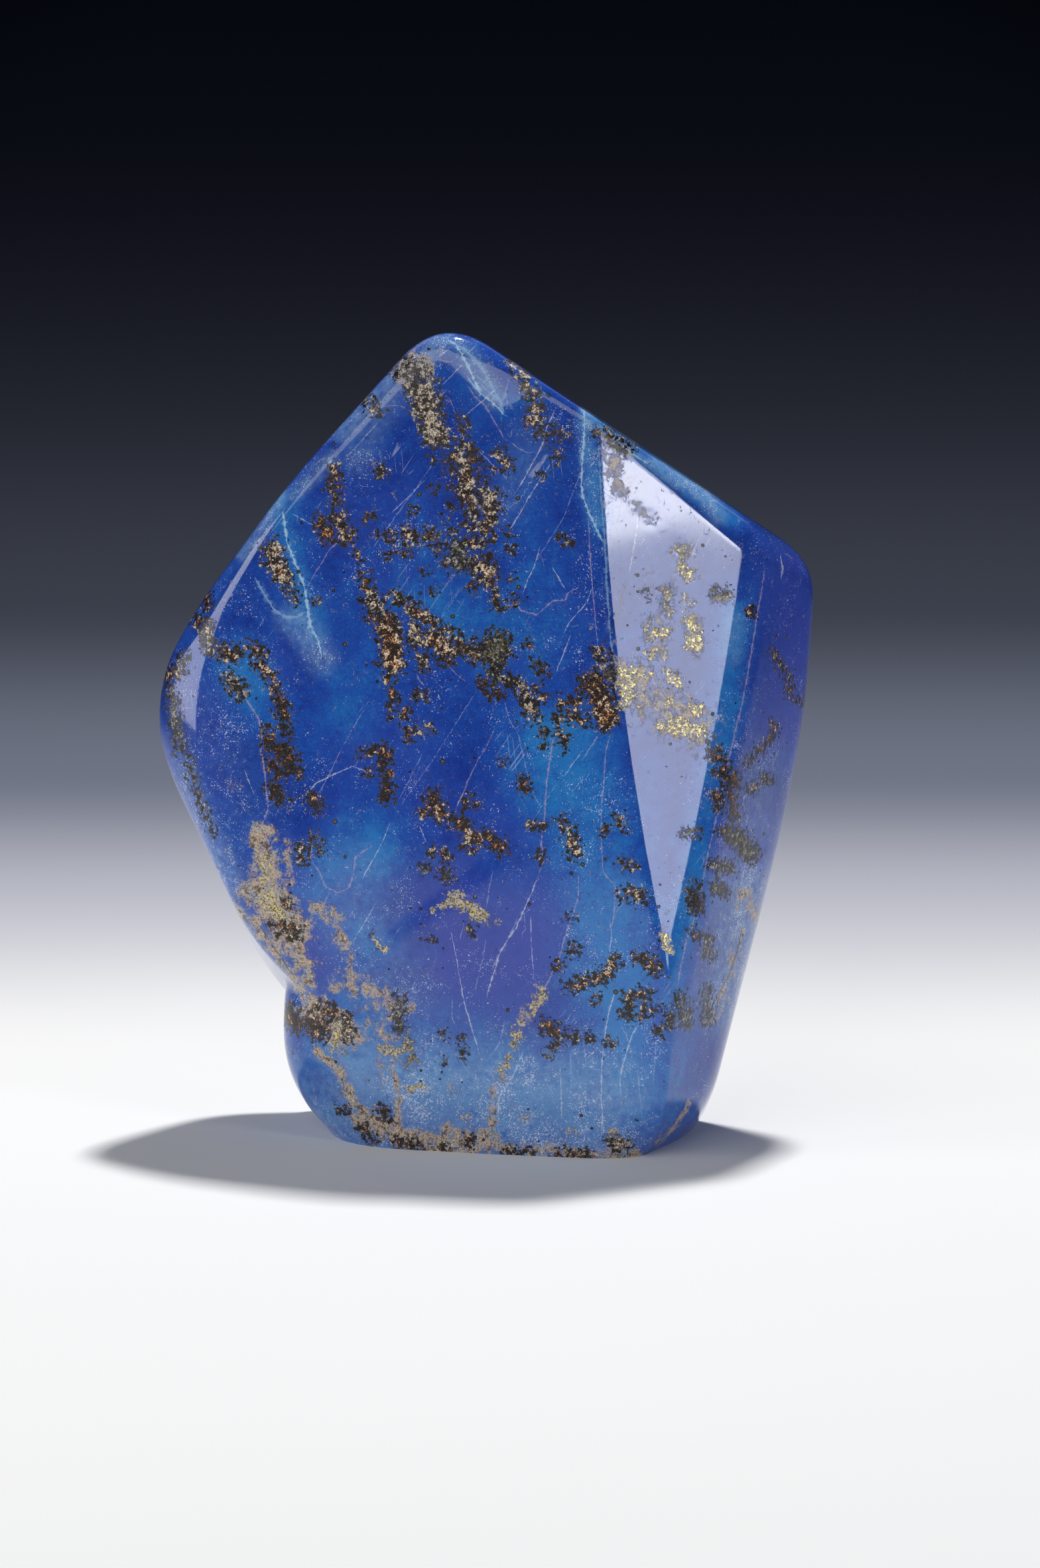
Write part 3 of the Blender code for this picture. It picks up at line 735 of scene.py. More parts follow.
# Veins: how they swell, how their edges and their glow fade over their half width, and from
# which width in millimetres they are drawn.
TO_SWELL = (0.36, 0.70, 0.06, 0.55)
LEAST_WIDTH = 0.001
VEIN_EDGE = 0.75
GLOW_EDGE = (4.0, 0.8)
DRAWN_FROM = (0.01, 0.1)
GLOW_STRENGTH = 0.06

# Ore: its ragged body, and its shade, in which black, brown, rust and cream follow each other.
# ORE_GRAINS holds detail and roughness alone, because its fineness follows the grain size.
ORE_GRAINS = (3.0, 0.75)
GRAIN_FINENESS = 0.9
RAG_REACH = 8.5
BODY_INSET = 0.15
BODY_EDGE = (-0.12, 0.14)
PLAIN_SWING = (0.1, 0.5, 1.0, 0.45)
REGION_SWING = 3.0
GRAIN_SWING = 1.7
SHADE_LIFT = 0.02
TO_BROWN = (0.08, 0.26)
TO_RUST = (0.26, 0.44)
TO_CREAM = (0.50, 0.68)
TO_OLIVE = (0.12, 0.34)
TO_GREY = (0.46, 0.80)
TO_PLATES = (0.50, 0.55)
PALE_GOLD_SHARE = 0.5
OLIVE_GILT = (0.12, 0.42)
GOLDEN_GILT = (0.55, 0.8)

# Ore: dark and bright grains in the body, and the dark rim round it.
DARK_GRAINS = (0.42, 0.54)
DARK_GRAIN_SHARE = 0.82
LIGHT_LEAST = 0.18
BRIGHT_GRAINS = (0.62, 0.72)
BRIGHT_TONES = (0.2, 0.5)
BRIGHT_SHARE = 0.6
RIM_RAG_REACH = 3.4
RIM_EDGE = (0.18, 0.75)

# Ore: pepper and single dots around the body.
PEPPER_NEAR = (-1.8, -0.1)
PEPPER_PULL = 0.16
PEPPER_EDGE = (0.655, 0.69)
PEPPER_TINT = (0.5, 0.62)
DOT_CELLS = 0.55
DOT_NEAR = (-4.5, -0.3)
DOT_PULL = 0.40
DOT_CHANCE = 0.955
DOT_GROWTH = 0.16
DOT_LEAST = 0.07
DOT_EDGE = (-0.03, 0.02)
DOT_HEART = (0.06, 0.13)

# Crust.
CRUST_RAG_REACH = 3.3
CRUST_EDGE = (0.34, 0.86)
CRUST_TO_TAN = (0.36, 0.56)
CRUST_TO_UMBER = (0.53, 0.62, 0.0, 0.8)
CRUST_DARK_GRAINS = (0.50, 0.40, 0.0, 0.75)
CRUST_GLINT_EDGE = (0.64, 0.69)
CRUST_GLINT_WHERE = (0.6, 0.9)

# How strongly haze, in places painted highlight and painted reflection, and scratches cover the ground, and
# how rough and uneven the polish is.
HAZE_AND_SHEEN_SHARE = 0.36
SCRATCH_STRENGTH = 0.3
POLISH = 0.035
WORN_ORE = 0.22
WORN_CRUST = 0.2
DULLNESS = 0.06
METAL_SHARE = 0.55
STONE_IOR = 1.53
ORE_BUMP = 0.6
CRUST_BUMP = 0.9
PIT_BUMP = -0.12
BUMP_STRENGTH = 0.35
BUMP_DEPTH = 0.06 * MM

# Floor: a round plate whose colour paints a pool of light round the stone. It darkens into
# painted shade behind the stone: where each fade starts and ends, in metres, and its colour.
# Beside and in front of the stone it is bright up to BRIGHT_FRONT, and then fades away into painted shade.
FLOOR_RADIUS = 8.0
FLOOR_SIDES = 96
FLOOR_ROUGHNESS = 0.9
FLOOR_SHINE = 0.1
DARK = (0.012, 0.016, 0.028, 1.0)
FLOOR_FADES = (
    (0.06, 0.22, (0.47, 0.475, 0.53, 1.0)),
    (0.18, 0.36, (0.145, 0.160, 0.212, 1.0)),
    (0.34, 0.62, (0.045, 0.051, 0.072, 1.0)),
    (0.60, 1.10, (0.030, 0.035, 0.052, 1.0)),
    (1.00, 1.70, (0.030, 0.031, 0.056, 1.0)),
    (1.60, 3.30, (0.058, 0.078, 0.108, 1.0)),
)
BRIGHT_FRONT = -0.10
BRIGHT_FADE = (0.20, 0.52)

# Softboxes look at LIT_HEIGHT on the stone's axis. Turn and rise are in degrees, the
# distance, width and height in metres, and the power is one of the studio's settings.
LIT_HEIGHT = 0.07
Softbox = namedtuple("Softbox", "turn rise distance width height power tint", defaults=((1.0, 1.0, 1.0),))
SOFTBOXES = {
    "light_top": Softbox(161.0, 72.4, 1.2, 0.09, 0.09, "key_power"),
    "light_front": Softbox(-30.0, 30.0, 1.1, 0.9, 0.5, "fill_power"),
    "light_right": Softbox(48.0, 6.0, 0.9, 0.2, 0.5, "side_power", (0.86, 0.90, 1.0)),
    "light_right_band": Softbox(50.0, 11.1, 0.85, 0.16, 0.032, "band_power"),
    "light_left": Softbox(-76.0, 10.0, 0.8, 0.34, 0.40, "left_power"),
    "light_rear_right": Softbox(150.0, 35.0, 1.0, 0.4, 0.4, "rear_power"),
    "light_rear_left": Softbox(-150.0, 35.0, 1.0, 0.4, 0.4, "rear_power"),
}


def direction(face):
    """Outward direction of a worn face; turn 0 looks to the front."""
    turn = np.radians(face.turn)
    tilt = np.radians(face.tilt)
    level = np.cos(tilt)
    return np.array((np.sin(turn) * level, -np.cos(turn) * level, np.sin(tilt)))


def height_over(face, q):
    """Height of the points q over a worn face, negative inside the stone."""
    out = q @ direction(face)
    if face.swell == 0.0:
        return out - face.reach
    sideways = np.sum(q * q, axis=1) - out * out
    return out - face.reach + 0.5 * face.swell * sideways


def cut(a, b, softness):
    """Keep what lies inside both fields, with a soft edge between them."""
    near = np.maximum(softness - np.abs(a - b), 0.0) / softness
    return np.maximum(a, b) + 0.25 * softness * near * near


def join(a, b, softness):
    """Keep what lies inside either field, with a soft crease between them."""
    return -cut(-a, -b, softness)


def faces_met(q, softness, first, *others):
    """Worn faces that meet one after the other over edges of one softness."""
    field = height_over(first, q)
    for face in others:
        field = cut(field, height_over(face, q), softness)
    return field


def main_face(q):
    """The main face with its fall at the tip."""
    p = q + HEART - FALL_START
    across = p @ FALL_ACROSS
    ramp = 0.5 * (across + np.sqrt(across * across + FALL_SOFTNESS * FALL_SOFTNESS))
    share = np.clip(p @ FALL_ALONG / FALL_LENGTH, 0.0, FALL_LIMIT)
    return height_over(MAIN_FACE, q) + FALL_SLOPE * ramp * share


def left_faces(q):
    """The main face and the bevels to its left."""
    return cut(main_face(q), faces_met(q, SOFT_EDGE, LEFT_BEVEL_UPPER, LEFT_BEVEL_LOWER), BEVEL_EDGE)


def right_faces(q):
    """The right facet, the side face and the edge behind it."""
    edge = faces_met(q, NEAR_CRISP_EDGE, RIGHT_EDGE_UPPER, RIGHT_EDGE_LOWER)
    side = cut(height_over(SIDE_FACE, q), edge, SOFT_EDGE)
    return cut(height_over(RIGHT_FACET, q), side, RIGHT_CORNER_EDGE)


def rim(q):
    """The narrow faces all round the top and down the left flank."""
    upper = faces_met(q, NEAR_CRISP_EDGE, LEFT_SHOULDER, LEFT_CORNER, TOP_LEFT_EDGE)
    flank = faces_met(q, SOFT_EDGE, LEFT_FLANK_UPPER, LEFT_FLANK_MIDDLE, LEFT_FLANK_UNDERCUT)
    return cut(height_over(TOP_RIGHT_EDGE, q), cut(upper, flank, FLANK_BEND), TIP_BEND)


def back_faces(q):
    """The plain faces of the back."""
    return faces_met(q, BACK_BEND, BACK_FACE, BACK_LEFT_FACE, BACK_RIGHT_FACE, BACK_LOWER_FACE)


def foot(q):
    """The rounded foot at the lower left."""
    p = q + HEART - FOOT_CENTRE
    end = faces_met(p, FOOT_END_BEND, FOOT_LEFT, FOOT_LOWER_LEFT, FOOT_UPPER_LEFT)
    front = main_face(q) + FOOT_SWING * (q[:, 0] - FOOT_SWING_FROM)
    field = cut(front, end, FOOT_ROUNDING)
    return cut(field, height_over(FOOT_RIGHT, p), SOFT_EDGE)


def stone_field(points):
    """Signed field of the stone before its flat spot is ground: zero on its surface."""
    q = points - HEART
    right = np.clip(q[:, 0] - RIM_CRISPEST_AT, 0.0, RIM_SPAN_RIGHT)
    left = np.clip(RIM_CRISPEST_AT - q[:, 0], 0.0, RIM_SPAN_LEFT)
    rounding = RIM_LEAST_ROUNDING + RIM_GROWTH_RIGHT * right + RIM_GROWTH_LEFT * left
    field = cut(cut(left_faces(q), right_faces(q), CRISP_EDGE), rim(q), rounding)
    field = join(field, foot(q), FOOT_CREASE)
    field = cut(field, back_faces(q), BACK_ROUNDING)
    field = cut(field, height_over(CORNER_BEVEL, q), CORNER_ROUNDING)
    return cut(field, height_over(ROUGH_END, q), END_ROUNDING)


def outward(points):
    """Slope of the stone's field at each point, by central differences."""
    slope = np.empty_like(points)
    for axis in range(3):
        step = np.zeros(3)
        step[axis] = PROBE
        slope[:, axis] = (stone_field(points + step) - stone_field(points - step)) / (2.0 * PROBE)
    return slope


def unit_outward(points):
    """Outward direction of the surface at each point."""
    slope = outward(points)
    return slope / np.linalg.norm(slope, axis=1)[:, None]


def reach_surface(rays):
    """Follow each ray from the heart out to the surface."""
    inside = np.zeros(len(rays))
    outside = np.full(len(rays), SEARCH_REACH)
    for _ in range(SEARCH_STEPS):
        middle = 0.5 * (inside + outside)
        within = stone_field(HEART + rays * middle[:, None]) < 0.0
        inside = np.where(within, middle, inside)
        outside = np.where(within, outside, middle)
    return HEART + rays * inside[:, None]


def settle(points):
    """Move points straight onto the surface."""
    for _ in range(SETTLE_STEPS):
        slope = outward(points)
        steep = np.sum(slope * slope, axis=1)
        points = points - slope * (stone_field(points) / steep)[:, None]
    return points


def even_out(points, edges):
    """Spread the points evenly over the surface."""
    size = len(points)
    ends = np.concatenate((edges[:, 0], edges[:, 1]))
    others = np.concatenate((edges[:, 1], edges[:, 0]))
    count = np.bincount(ends, minlength=size)
    for _ in range(EVENING_ROUNDS):
        sums = [np.bincount(ends, weights=points[others, axis], minlength=size) for axis in range(3)]
        pull = np.stack(sums, axis=1) / count[:, None] - points
        normal = unit_outward(points)
        pull -= normal * np.sum(pull * normal, axis=1)[:, None]
        points = points + EVENING_SHARE * pull
    return settle(points)


def bring_to_ground(points):
    """Slide the points nearest the ground down or up the surface onto it."""
    normal = unit_outward(points)
    along = -normal * normal[:, 2:3]
    along[:, 2] += 1.0
    move = -along * (points[:, 2] / np.maximum(along[:, 2], LEAST_RISE))[:, None]
    near = np.maximum(np.linalg.norm(move, axis=1), np.abs(points[:, 2])) < GROUND_REACH
    points = points + np.where(near[:, None], move, 0.0)
    points[near, 2] = 0.0
    return points


def smooth_share(value):
    """Ease from 0 to 1 while value runs from 0 to 1."""
    t = np.clip(value, 0.0, 1.0)
    return t * t * (3.0 - 2.0 * t)


def picture_places(points, normal):
    """Where each point lies in the front picture; marks on the back are carried through."""
    down = math.radians(CAMERA_DOWN)
    up = np.array((0.0, math.sin(down), math.cos(down)))
    back = np.array((0.0, -math.cos(down), math.sin(down)))
    p = points - CAMERA_PLACE
    depth = -p @ back
    across = PICTURE_WIDTH / 2.0 + FOCAL_POINTS * p[:, 0] / depth
    fall = PICTURE_HEIGHT / 2.0 - FOCAL_POINTS * (p @ up) / depth
    through = smooth_share((THROUGH_START - normal @ back) / THROUGH_SPAN)
    return np.stack((across, fall), axis=1) + through[:, None] * THROUGH_SHIFT


def path_gap(places, path):
    """Distance of each place from a path, its side of it, how far along it lies, and the length."""
    corners = [np.array(corner, float) for corner in path]
    if len(corners) == 1:
        gap = places - corners[0]
        return np.linalg.norm(gap, axis=1), np.ones(len(places)), np.zeros(len(places)), 0.0
    nearest = np.full(len(places), np.inf)
    side = np.ones(len(places))
    travelled = np.zeros(len(places))
    length = 0.0
    for start, end in zip(corners[:-1], corners[1:]):
        run = end - start
        size = np.linalg.norm(run)
        offset = places - start
        share = np.clip(offset @ run / size ** 2, 0.0, 1.0)
        gap = offset - share[:, None] * run
        distance = np.linalg.norm(gap, axis=1)
        closer = distance < nearest
        nearest = np.where(closer, distance, nearest)
        turn = np.sign(run[0] * gap[:, 1] - run[1] * gap[:, 0])
        side = np.where(closer, turn, side)
        travelled = np.where(closer, length + share * size, travelled)
        length += size
    return nearest, side, travelled, length


def outline_gap(places, outline):
    """Distance of each place from the edge of a closed outline, positive inside it."""
    distance = path_gap(places, outline + outline[:1])[0]
    inside = np.zeros(len(places), bool)
    for (ax, ay), (bx, by) in zip(outline, outline[1:] + outline[:1]):
        across = (ay > places[:, 1]) != (by > places[:, 1])
        reach = ax + (places[:, 1] - ay) / ((by - ay) or 1.0) * (bx - ax)
        inside ^= across & (places[:, 0] < reach)
    return np.where(inside, distance, -distance)


def ore_fields(places):
    """How far inside the ore each place lies, in millimetres, and its tone and gilt."""
    edges = [(mark.reach - path_gap(places, mark.path)[0], mark) for mark in ALL_ORE]
    edges += [(outline_gap(places, mark.outline), mark) for mark in ORE_PATCHES]
    edge = np.full(len(places), EDGE_LEAST)
    weights = np.full(len(places), PLAIN_WEIGHT)
    tone = weights * PLAIN_ORE
    gilt = weights * PLAIN_ORE
    for here, mark in edges:
        here = here / POINTS_PER_MM
        edge = np.maximum(edge, here)
        weight = np.exp(TONE_PULL * np.clip(here, PULL_LEAST, PULL_MOST))
        weights += weight
        tone += weight * mark.tone
        gilt += weight * mark.gilt
    return np.minimum(edge, EDGE_MOST), tone / weights, gilt / weights


def cloud_field(places, clouds):
    """Largest amount of the soft clouds at each place."""
    amount = np.zeros(len(places))
    for cloud in clouds:
        distance = path_gap(places, cloud.path)[0]
        share = smooth_share(1.0 - CLOUD_FADE * distance / cloud.reach)
        amount = np.maximum(amount, cloud.amount * share)
    return amount


def vein_fields(places, veins):
    """Signed distance from the nearest vein and the vein's width, in millimetres."""
    nearest = np.full(len(places), np.inf)
    signed = np.full(len(places), VEIN_REACH)
    width = np.zeros(len(places))
    for vein in veins:
        distance, side, travelled, length = path_gap(places, vein.path)
        closer = distance < nearest
        nearest = np.where(closer, distance, nearest)
        signed = np.where(closer, side * distance, signed)
        ends = np.minimum(travelled, length - travelled) / VEIN_TAPER
        here = np.where(distance < VEIN_REACH, vein.width * np.clip(ends, 0.0, 1.0), 0.0)
        width = np.where(closer, here, width)
    return signed / POINTS_PER_MM, width / POINTS_PER_MM


def beyond_border(places, path):
    """Share of each place that lies to the right of a steep border, within its length."""
    low, high = path[0][1], path[-1][1]
    along = (places[:, 1] - low) / (high - low)
    edge = np.interp(places[:, 1], [corner[1] for corner in path], [corner[0] for corner in path])
    right = smooth_share(0.5 + (places[:, 0] - edge) / BORDER_EASE)
    return right * smooth_share(along * BORDER_ENDS) * smooth_share((1.0 - along) * BORDER_ENDS)


def mark_fields(places):
    """The fields of all marks at each place, by the names under which the material reads them."""
    fields = {}
    fields["ore"], fields["ore_tone"], fields["ore_gilt"] = ore_fields(places)
    for name, clouds in CLOUD_SETS.items():
        fields[name] = cloud_field(places, clouds)
    fields["violet"] *= 1.0 - beyond_border(places, VIOLET_BORDER)
    for name, kind in LINE_SETS.items():
        fields[name + "_gap"], fields[name + "_width"] = vein_fields(places, kind.veins)
    return fields


def relief(points, fields):
    """Small height of the worn surface: long waves, and hollows at ore and crust."""
    waves = np.array([noise.noise(Vector(point / WAVE_LENGTH)) for point in points])
    ore = smooth_share(fields["ore"] / ORE_EDGE)
    crust = smooth_share(fields["crust"])
    rough = np.array([noise.noise(Vector(point / MM)) for point in points])
    return WAVE_HEIGHT * waves - ORE_DEPTH * ore * (1.0 + rough) - CRUST_DEPTH * crust * (1.0 + rough)


def grind_flat(bm):
    """Grind the underside away level with the ground, leaving one flat spot."""
    everything = bm.verts[:] + bm.edges[:] + bm.faces[:]
    bmesh.ops.bisect_plane(
        bm, geom=everything, dist=TOUCHING, plane_co=(0.0, 0.0, 0.0), plane_no=(0.0, 0.0, 1.0),
        clear_inner=True,
    )
    rim_edges = [edge for edge in bm.edges if edge.is_boundary]
    for edge in rim_edges:
        edge.smooth = False
    bmesh.ops.holes_fill(bm, edges=rim_edges, sides=0)


def stone_mesh():
    """Model the stone from an evenly cut block, moved onto the worn faces."""
    bm = bmesh.new()
    bmesh.ops.create_cube(bm, size=BLOCK_SIDE)
    bmesh.ops.subdivide_edges(bm, edges=bm.edges[:], cuts=GRID_CUTS, use_grid_fill=True)
    bm.verts.ensure_lookup_table()
    grid = np.array([vert.co for vert in bm.verts])
    edges = np.array([[vert.index for vert in edge.verts] for edge in bm.edges])
    spread = np.tan(grid * np.pi / 4.0)
    rays = spread / np.linalg.norm(spread, axis=1)[:, None] * STONE_HALF
    points = bring_to_ground(even_out(reach_surface(rays), edges))
    normal = unit_outward(points)
    fields = mark_fields(picture_places(points, normal))
    lift = relief(points, fields) * (points[:, 2] > TOUCHING)
    points += normal * lift[:, None]
    layers = {name: bm.verts.layers.float.new(name) for name in fields}
    for index, (vert, point) in enumerate(zip(bm.verts, points)):
        vert.co = point
        for name, layer in layers.items():
            vert[layer] = fields[name][index]
    grind_flat(bm)
    bmesh.ops.triangulate(bm, faces=bm.faces[:], quad_method="SHORT_EDGE")
    bmesh.ops.recalc_face_normals(bm, faces=bm.faces[:])
    for face in bm.faces:
        face.smooth = True
    mesh = bpy.data.meshes.new("lapis_stone")
    bm.to_mesh(mesh)
    bm.free()
    return mesh


class Desk:
    """Adds nodes to one node tree, joins them up and sets them out in columns."""

    COLUMN = 210
    ROW = 230
    ROWS = 6
    # Sockets of a mix node that hold colours.
    COLOUR_A = 6
    COLOUR_B = 7
    COLOUR_RESULT = 2

    def __init__(self, tree):
        self.tree = tree
        self.count = 0

    def feed(self, socket, value):
        """Join a socket to another one, or give it a plain value."""
        if isinstance(value, bpy.types.NodeSocket):
            self.tree.links.new(value, socket)
        else:
            socket.default_value = value

    def node(self, kind, inputs=None, **settings):
        """Add a node with its settings and inputs."""
        node = self.tree.nodes.new(kind)
        node.location = (self.count // self.ROWS * self.COLUMN, -(self.count % self.ROWS) * self.ROW)
        self.count += 1
        for name, value in settings.items():
            setattr(node, name, value)
        for key, value in (inputs or {}).items():
            self.feed(node.inputs[key], value)
        return node

    def math(self, operation, *values, clamp=False):
        """One arithmetic step."""
        inputs = dict(enumerate(values))
        return self.node("ShaderNodeMath", inputs, operation=operation, use_clamp=clamp).outputs[0]

    def plus(self, a, b):
        """Sum."""
        return self.math("ADD", a, b)

    def minus(self, a, b):
        """Difference."""
        return self.math("SUBTRACT", a, b)

    def times(self, a, b, clamp=False):
        """Product."""
        return self.math("MULTIPLY", a, b, clamp=clamp)

    def larger(self, a, b):
        """The larger of two values."""
        return self.math("MAXIMUM", a, b)

    def add_part(self, base, value, weight, clamp=False):
        """A base with a value added by its weight."""
        return self.math("MULTIPLY_ADD", value, weight, base, clamp=clamp)

    def swing(self, base, cloud, amount):
        """A base that noise lifts and lowers."""
        return self.add_part(base, self.minus(cloud, NOISE_MIDDLE), amount)

    def vector(self, operation, inputs):
        """One step of arithmetic with places."""
        return self.node("ShaderNodeVectorMath", inputs, operation=operation).outputs

    def ease(self, value, low, high, to_low=0.0, to_high=1.0):
        """Ease between two levels."""
        inputs = {"Value": value, "From Min": low, "From Max": high, "To Min": to_low, "To Max": to_high}
        node = self.node("ShaderNodeMapRange", inputs, interpolation_type="SMOOTHSTEP")
        return node.outputs["Result"]

    def mix(self, share, a, b):
        """Mix two colours."""
        node = self.node("ShaderNodeMix", data_type="RGBA")
        self.feed(node.inputs["Factor"], share)
        self.feed(node.inputs[self.COLOUR_A], a)
        self.feed(node.inputs[self.COLOUR_B], b)
        return node.outputs[self.COLOUR_RESULT]

    def noise(self, place, scale, detail=2.0, roughness=0.5, output="Fac"):
        """Cloudy noise."""
        inputs = {"Vector": place, "Scale": scale, "Detail": detail, "Roughness": roughness}
        return self.node("ShaderNodeTexNoise", inputs).outputs[output]

    def shifted(self, place, amount, scale, detail=2.0):
        """A place pushed about by noise."""
        push = self.noise(place, scale, detail, output="Color")
        centred = self.vector("SUBTRACT", {0: push, 1: (NOISE_MIDDLE, NOISE_MIDDLE, NOISE_MIDDLE)})[0]
        scaled = self.vector("SCALE", {0: centred, "Scale": amount})[0]
        return self.vector("ADD", {0: place, 1: scaled})[0]

    def field(self, name):
        """A value stored on the stone's points."""
        return self.node("ShaderNodeAttribute", attribute_name=name).outputs["Fac"]


def new_group(name, values, outputs, vectors=(), colours=()):
    """Start a shader node group that reads a place in millimetres, then its own inputs."""
    tree = bpy.data.node_groups.new(name, "ShaderNodeTree")
    for label in ("Place",) + vectors:
        tree.interface.new_socket(label, in_out="INPUT", socket_type="NodeSocketVector")
    for label, default in values.items():
        socket = tree.interface.new_socket(label, in_out="INPUT", socket_type="NodeSocketFloat")
        socket.default_value = default
    for label in colours:
        tree.interface.new_socket(label, in_out="INPUT", socket_type="NodeSocketColor")
    for label in outputs:
        kind = "NodeSocketColor" if label == "Color" else "NodeSocketFloat"
        tree.interface.new_socket(label, in_out="OUTPUT", socket_type=kind)
    desk = Desk(tree)
    given = desk.node("NodeGroupInput").outputs
    taken = desk.node("NodeGroupOutput").inputs
    return tree, desk, given, taken


def place_group(desk, tree, place, colours, **values):
    """Put a group in a node tree with its own values and the stone's colours of the same names."""
    node = desk.node("ShaderNodeGroup", {"Place": place}, node_tree=tree)
    for name, value in values.items():
        desk.feed(node.inputs[name.replace("_", " ").title()], value)
    for socket in node.inputs:
        if socket.type == "RGBA":
            socket.default_value = getattr(colours, socket.name.replace(" ", "_").lower())
    return node.outputs


def ground_group():
    """Blue ground: deep blue, azure and violet clouds with a fine mottle; the violet and azure fields also
    carry painted reflections.
    """
    tree, desk, given, taken = new_group(
        "Blue ground", {"Azure": 0.0, "Violet": 0.0}, ("Color",),
        colours=("Deep Blue", "Middle Blue", "Azure Blue", "Violet Blue"),
    )
    place = given["Place"]
    bent = desk.shifted(place, *GROUND_BEND)
    middle = desk.noise(bent, *MIDDLE_CLOUDS)
    level = desk.times(desk.noise(bent, *BROAD_CLOUDS), BROAD_WEIGHT)
    level = desk.add_part(level, given["Azure"], AZURE_WEIGHT)
    level = desk.add_part(level, middle, MIDDLE_WEIGHT)
    level = desk.add_part(level, desk.noise(place, *FINE_MOTTLE), FINE_WEIGHT)
    colour = desk.mix(desk.ease(level, *TO_MIDDLE_BLUE), given["Deep Blue"], given["Middle Blue"])
    colour = desk.mix(desk.ease(level, *TO_AZURE), colour, given["Azure Blue"])
    grain = desk.times(desk.minus(middle, NOISE_MIDDLE), VIOLET_GRAIN)
    violet = desk.plus(desk.ease(desk.noise(bent, *VIOLET_CLOUDS), *TO_VIOLET), given["Violet"])
    violet = desk.plus(violet, desk.times(grain, given["Violet"]))
    colour = desk.mix(desk.times(violet, VIOLET_SHARE, clamp=True), colour, given["Violet Blue"])
    desk.feed(taken["Color"], colour)
    return tree


def speck_group():
    """Fine pale specks in clusters, and haze where they crowd together; where the crowding field holds
    painted sheen, the haze paints highlights and reflections.
    """
    tree, desk, given, taken = new_group("Pale specks", {"Crowding": 0.0}, ("Specks", "Haze"))
    place = given["Place"]
    cluster = desk.noise(place, *SPECK_CLUSTERS)
    level = desk.swing(desk.noise(place, *SPECK_GRAINS), desk.noise(place, *SPECK_CROWDS), CROWD_WEIGHT)
    level = desk.swing(level, cluster, CLUSTER_WEIGHT)
    level = desk.add_part(level, given["Crowding"], CROWDING_WEIGHT)
    patchy = desk.swing(1.0, cluster, HAZE_AND_SHEEN_PATCHES)
    desk.feed(taken["Specks"], desk.ease(level, *SPECK_EDGE))
    desk.feed(taken["Haze"], desk.times(given["Crowding"], patchy, clamp=True))
    return tree


def scratch_group():
    """Long thin scratches that run one way over the stone."""
    tree, desk, given, taken = new_group(
        "Long scratches", {"Share": 0.5}, ("Lines",), vectors=("Across", "Along")
    )
    place = given["Place"]
    across = desk.vector("DOT_PRODUCT", {0: place, 1: given["Across"]})["Value"]
    along = desk.vector("DOT_PRODUCT", {0: place, 1: given["Along"]})["Value"]
    depth = desk.node("ShaderNodeSeparateXYZ", {0: place}).outputs["Y"]
    parts = zip((across, depth, along), SCRATCH_FINENESS)
    inputs = {axis: desk.times(part, fineness) for axis, (part, fineness) in enumerate(parts)}
    drawn = desk.node("ShaderNodeCombineXYZ", inputs).outputs[0]
    gap = desk.math("ABSOLUTE", desk.minus(desk.noise(drawn, *SCRATCH_LINES), NOISE_MIDDLE))
    limit = desk.minus(SCRATCH_LIMIT, desk.times(given["Share"], SCRATCH_SHARE))
    seen = desk.ease(desk.minus(desk.noise(place, *SCRATCH_BREAKS), limit), *SCRATCH_END)
    desk.feed(taken["Lines"], desk.times(desk.ease(gap, *SCRATCH_EDGE), seen))
    return tree


def vein_group():
    """One set of lines, veins and in some sets painted highlights, from signed distance and width."""
    tree, desk, given, taken = new_group(
        "Vein line", {"Gap": 1.0, "Width": 0.0, "Wander": 0.3, "Softness": 0.5}, ("Mask", "Glow")
    )
    place = given["Place"]
    softness = given["Softness"]
    gap = desk.math("ABSOLUTE", desk.swing(given["Gap"], desk.noise(place, *VEIN_SWAY), given["Wander"]))
    width = desk.times(given["Width"], desk.ease(desk.noise(place, *VEIN_SWELL), *TO_SWELL))
    ratio = desk.math("DIVIDE", gap, desk.larger(width, LEAST_WIDTH))
    mask = desk.ease(ratio, desk.plus(softness, VEIN_EDGE), desk.minus(VEIN_EDGE, softness))
    drawn = desk.ease(given["Width"], *DRAWN_FROM)
    desk.feed(taken["Mask"], desk.times(mask, drawn))
    desk.feed(taken["Glow"], desk.times(desk.ease(ratio, *GLOW_EDGE), drawn))
    return tree


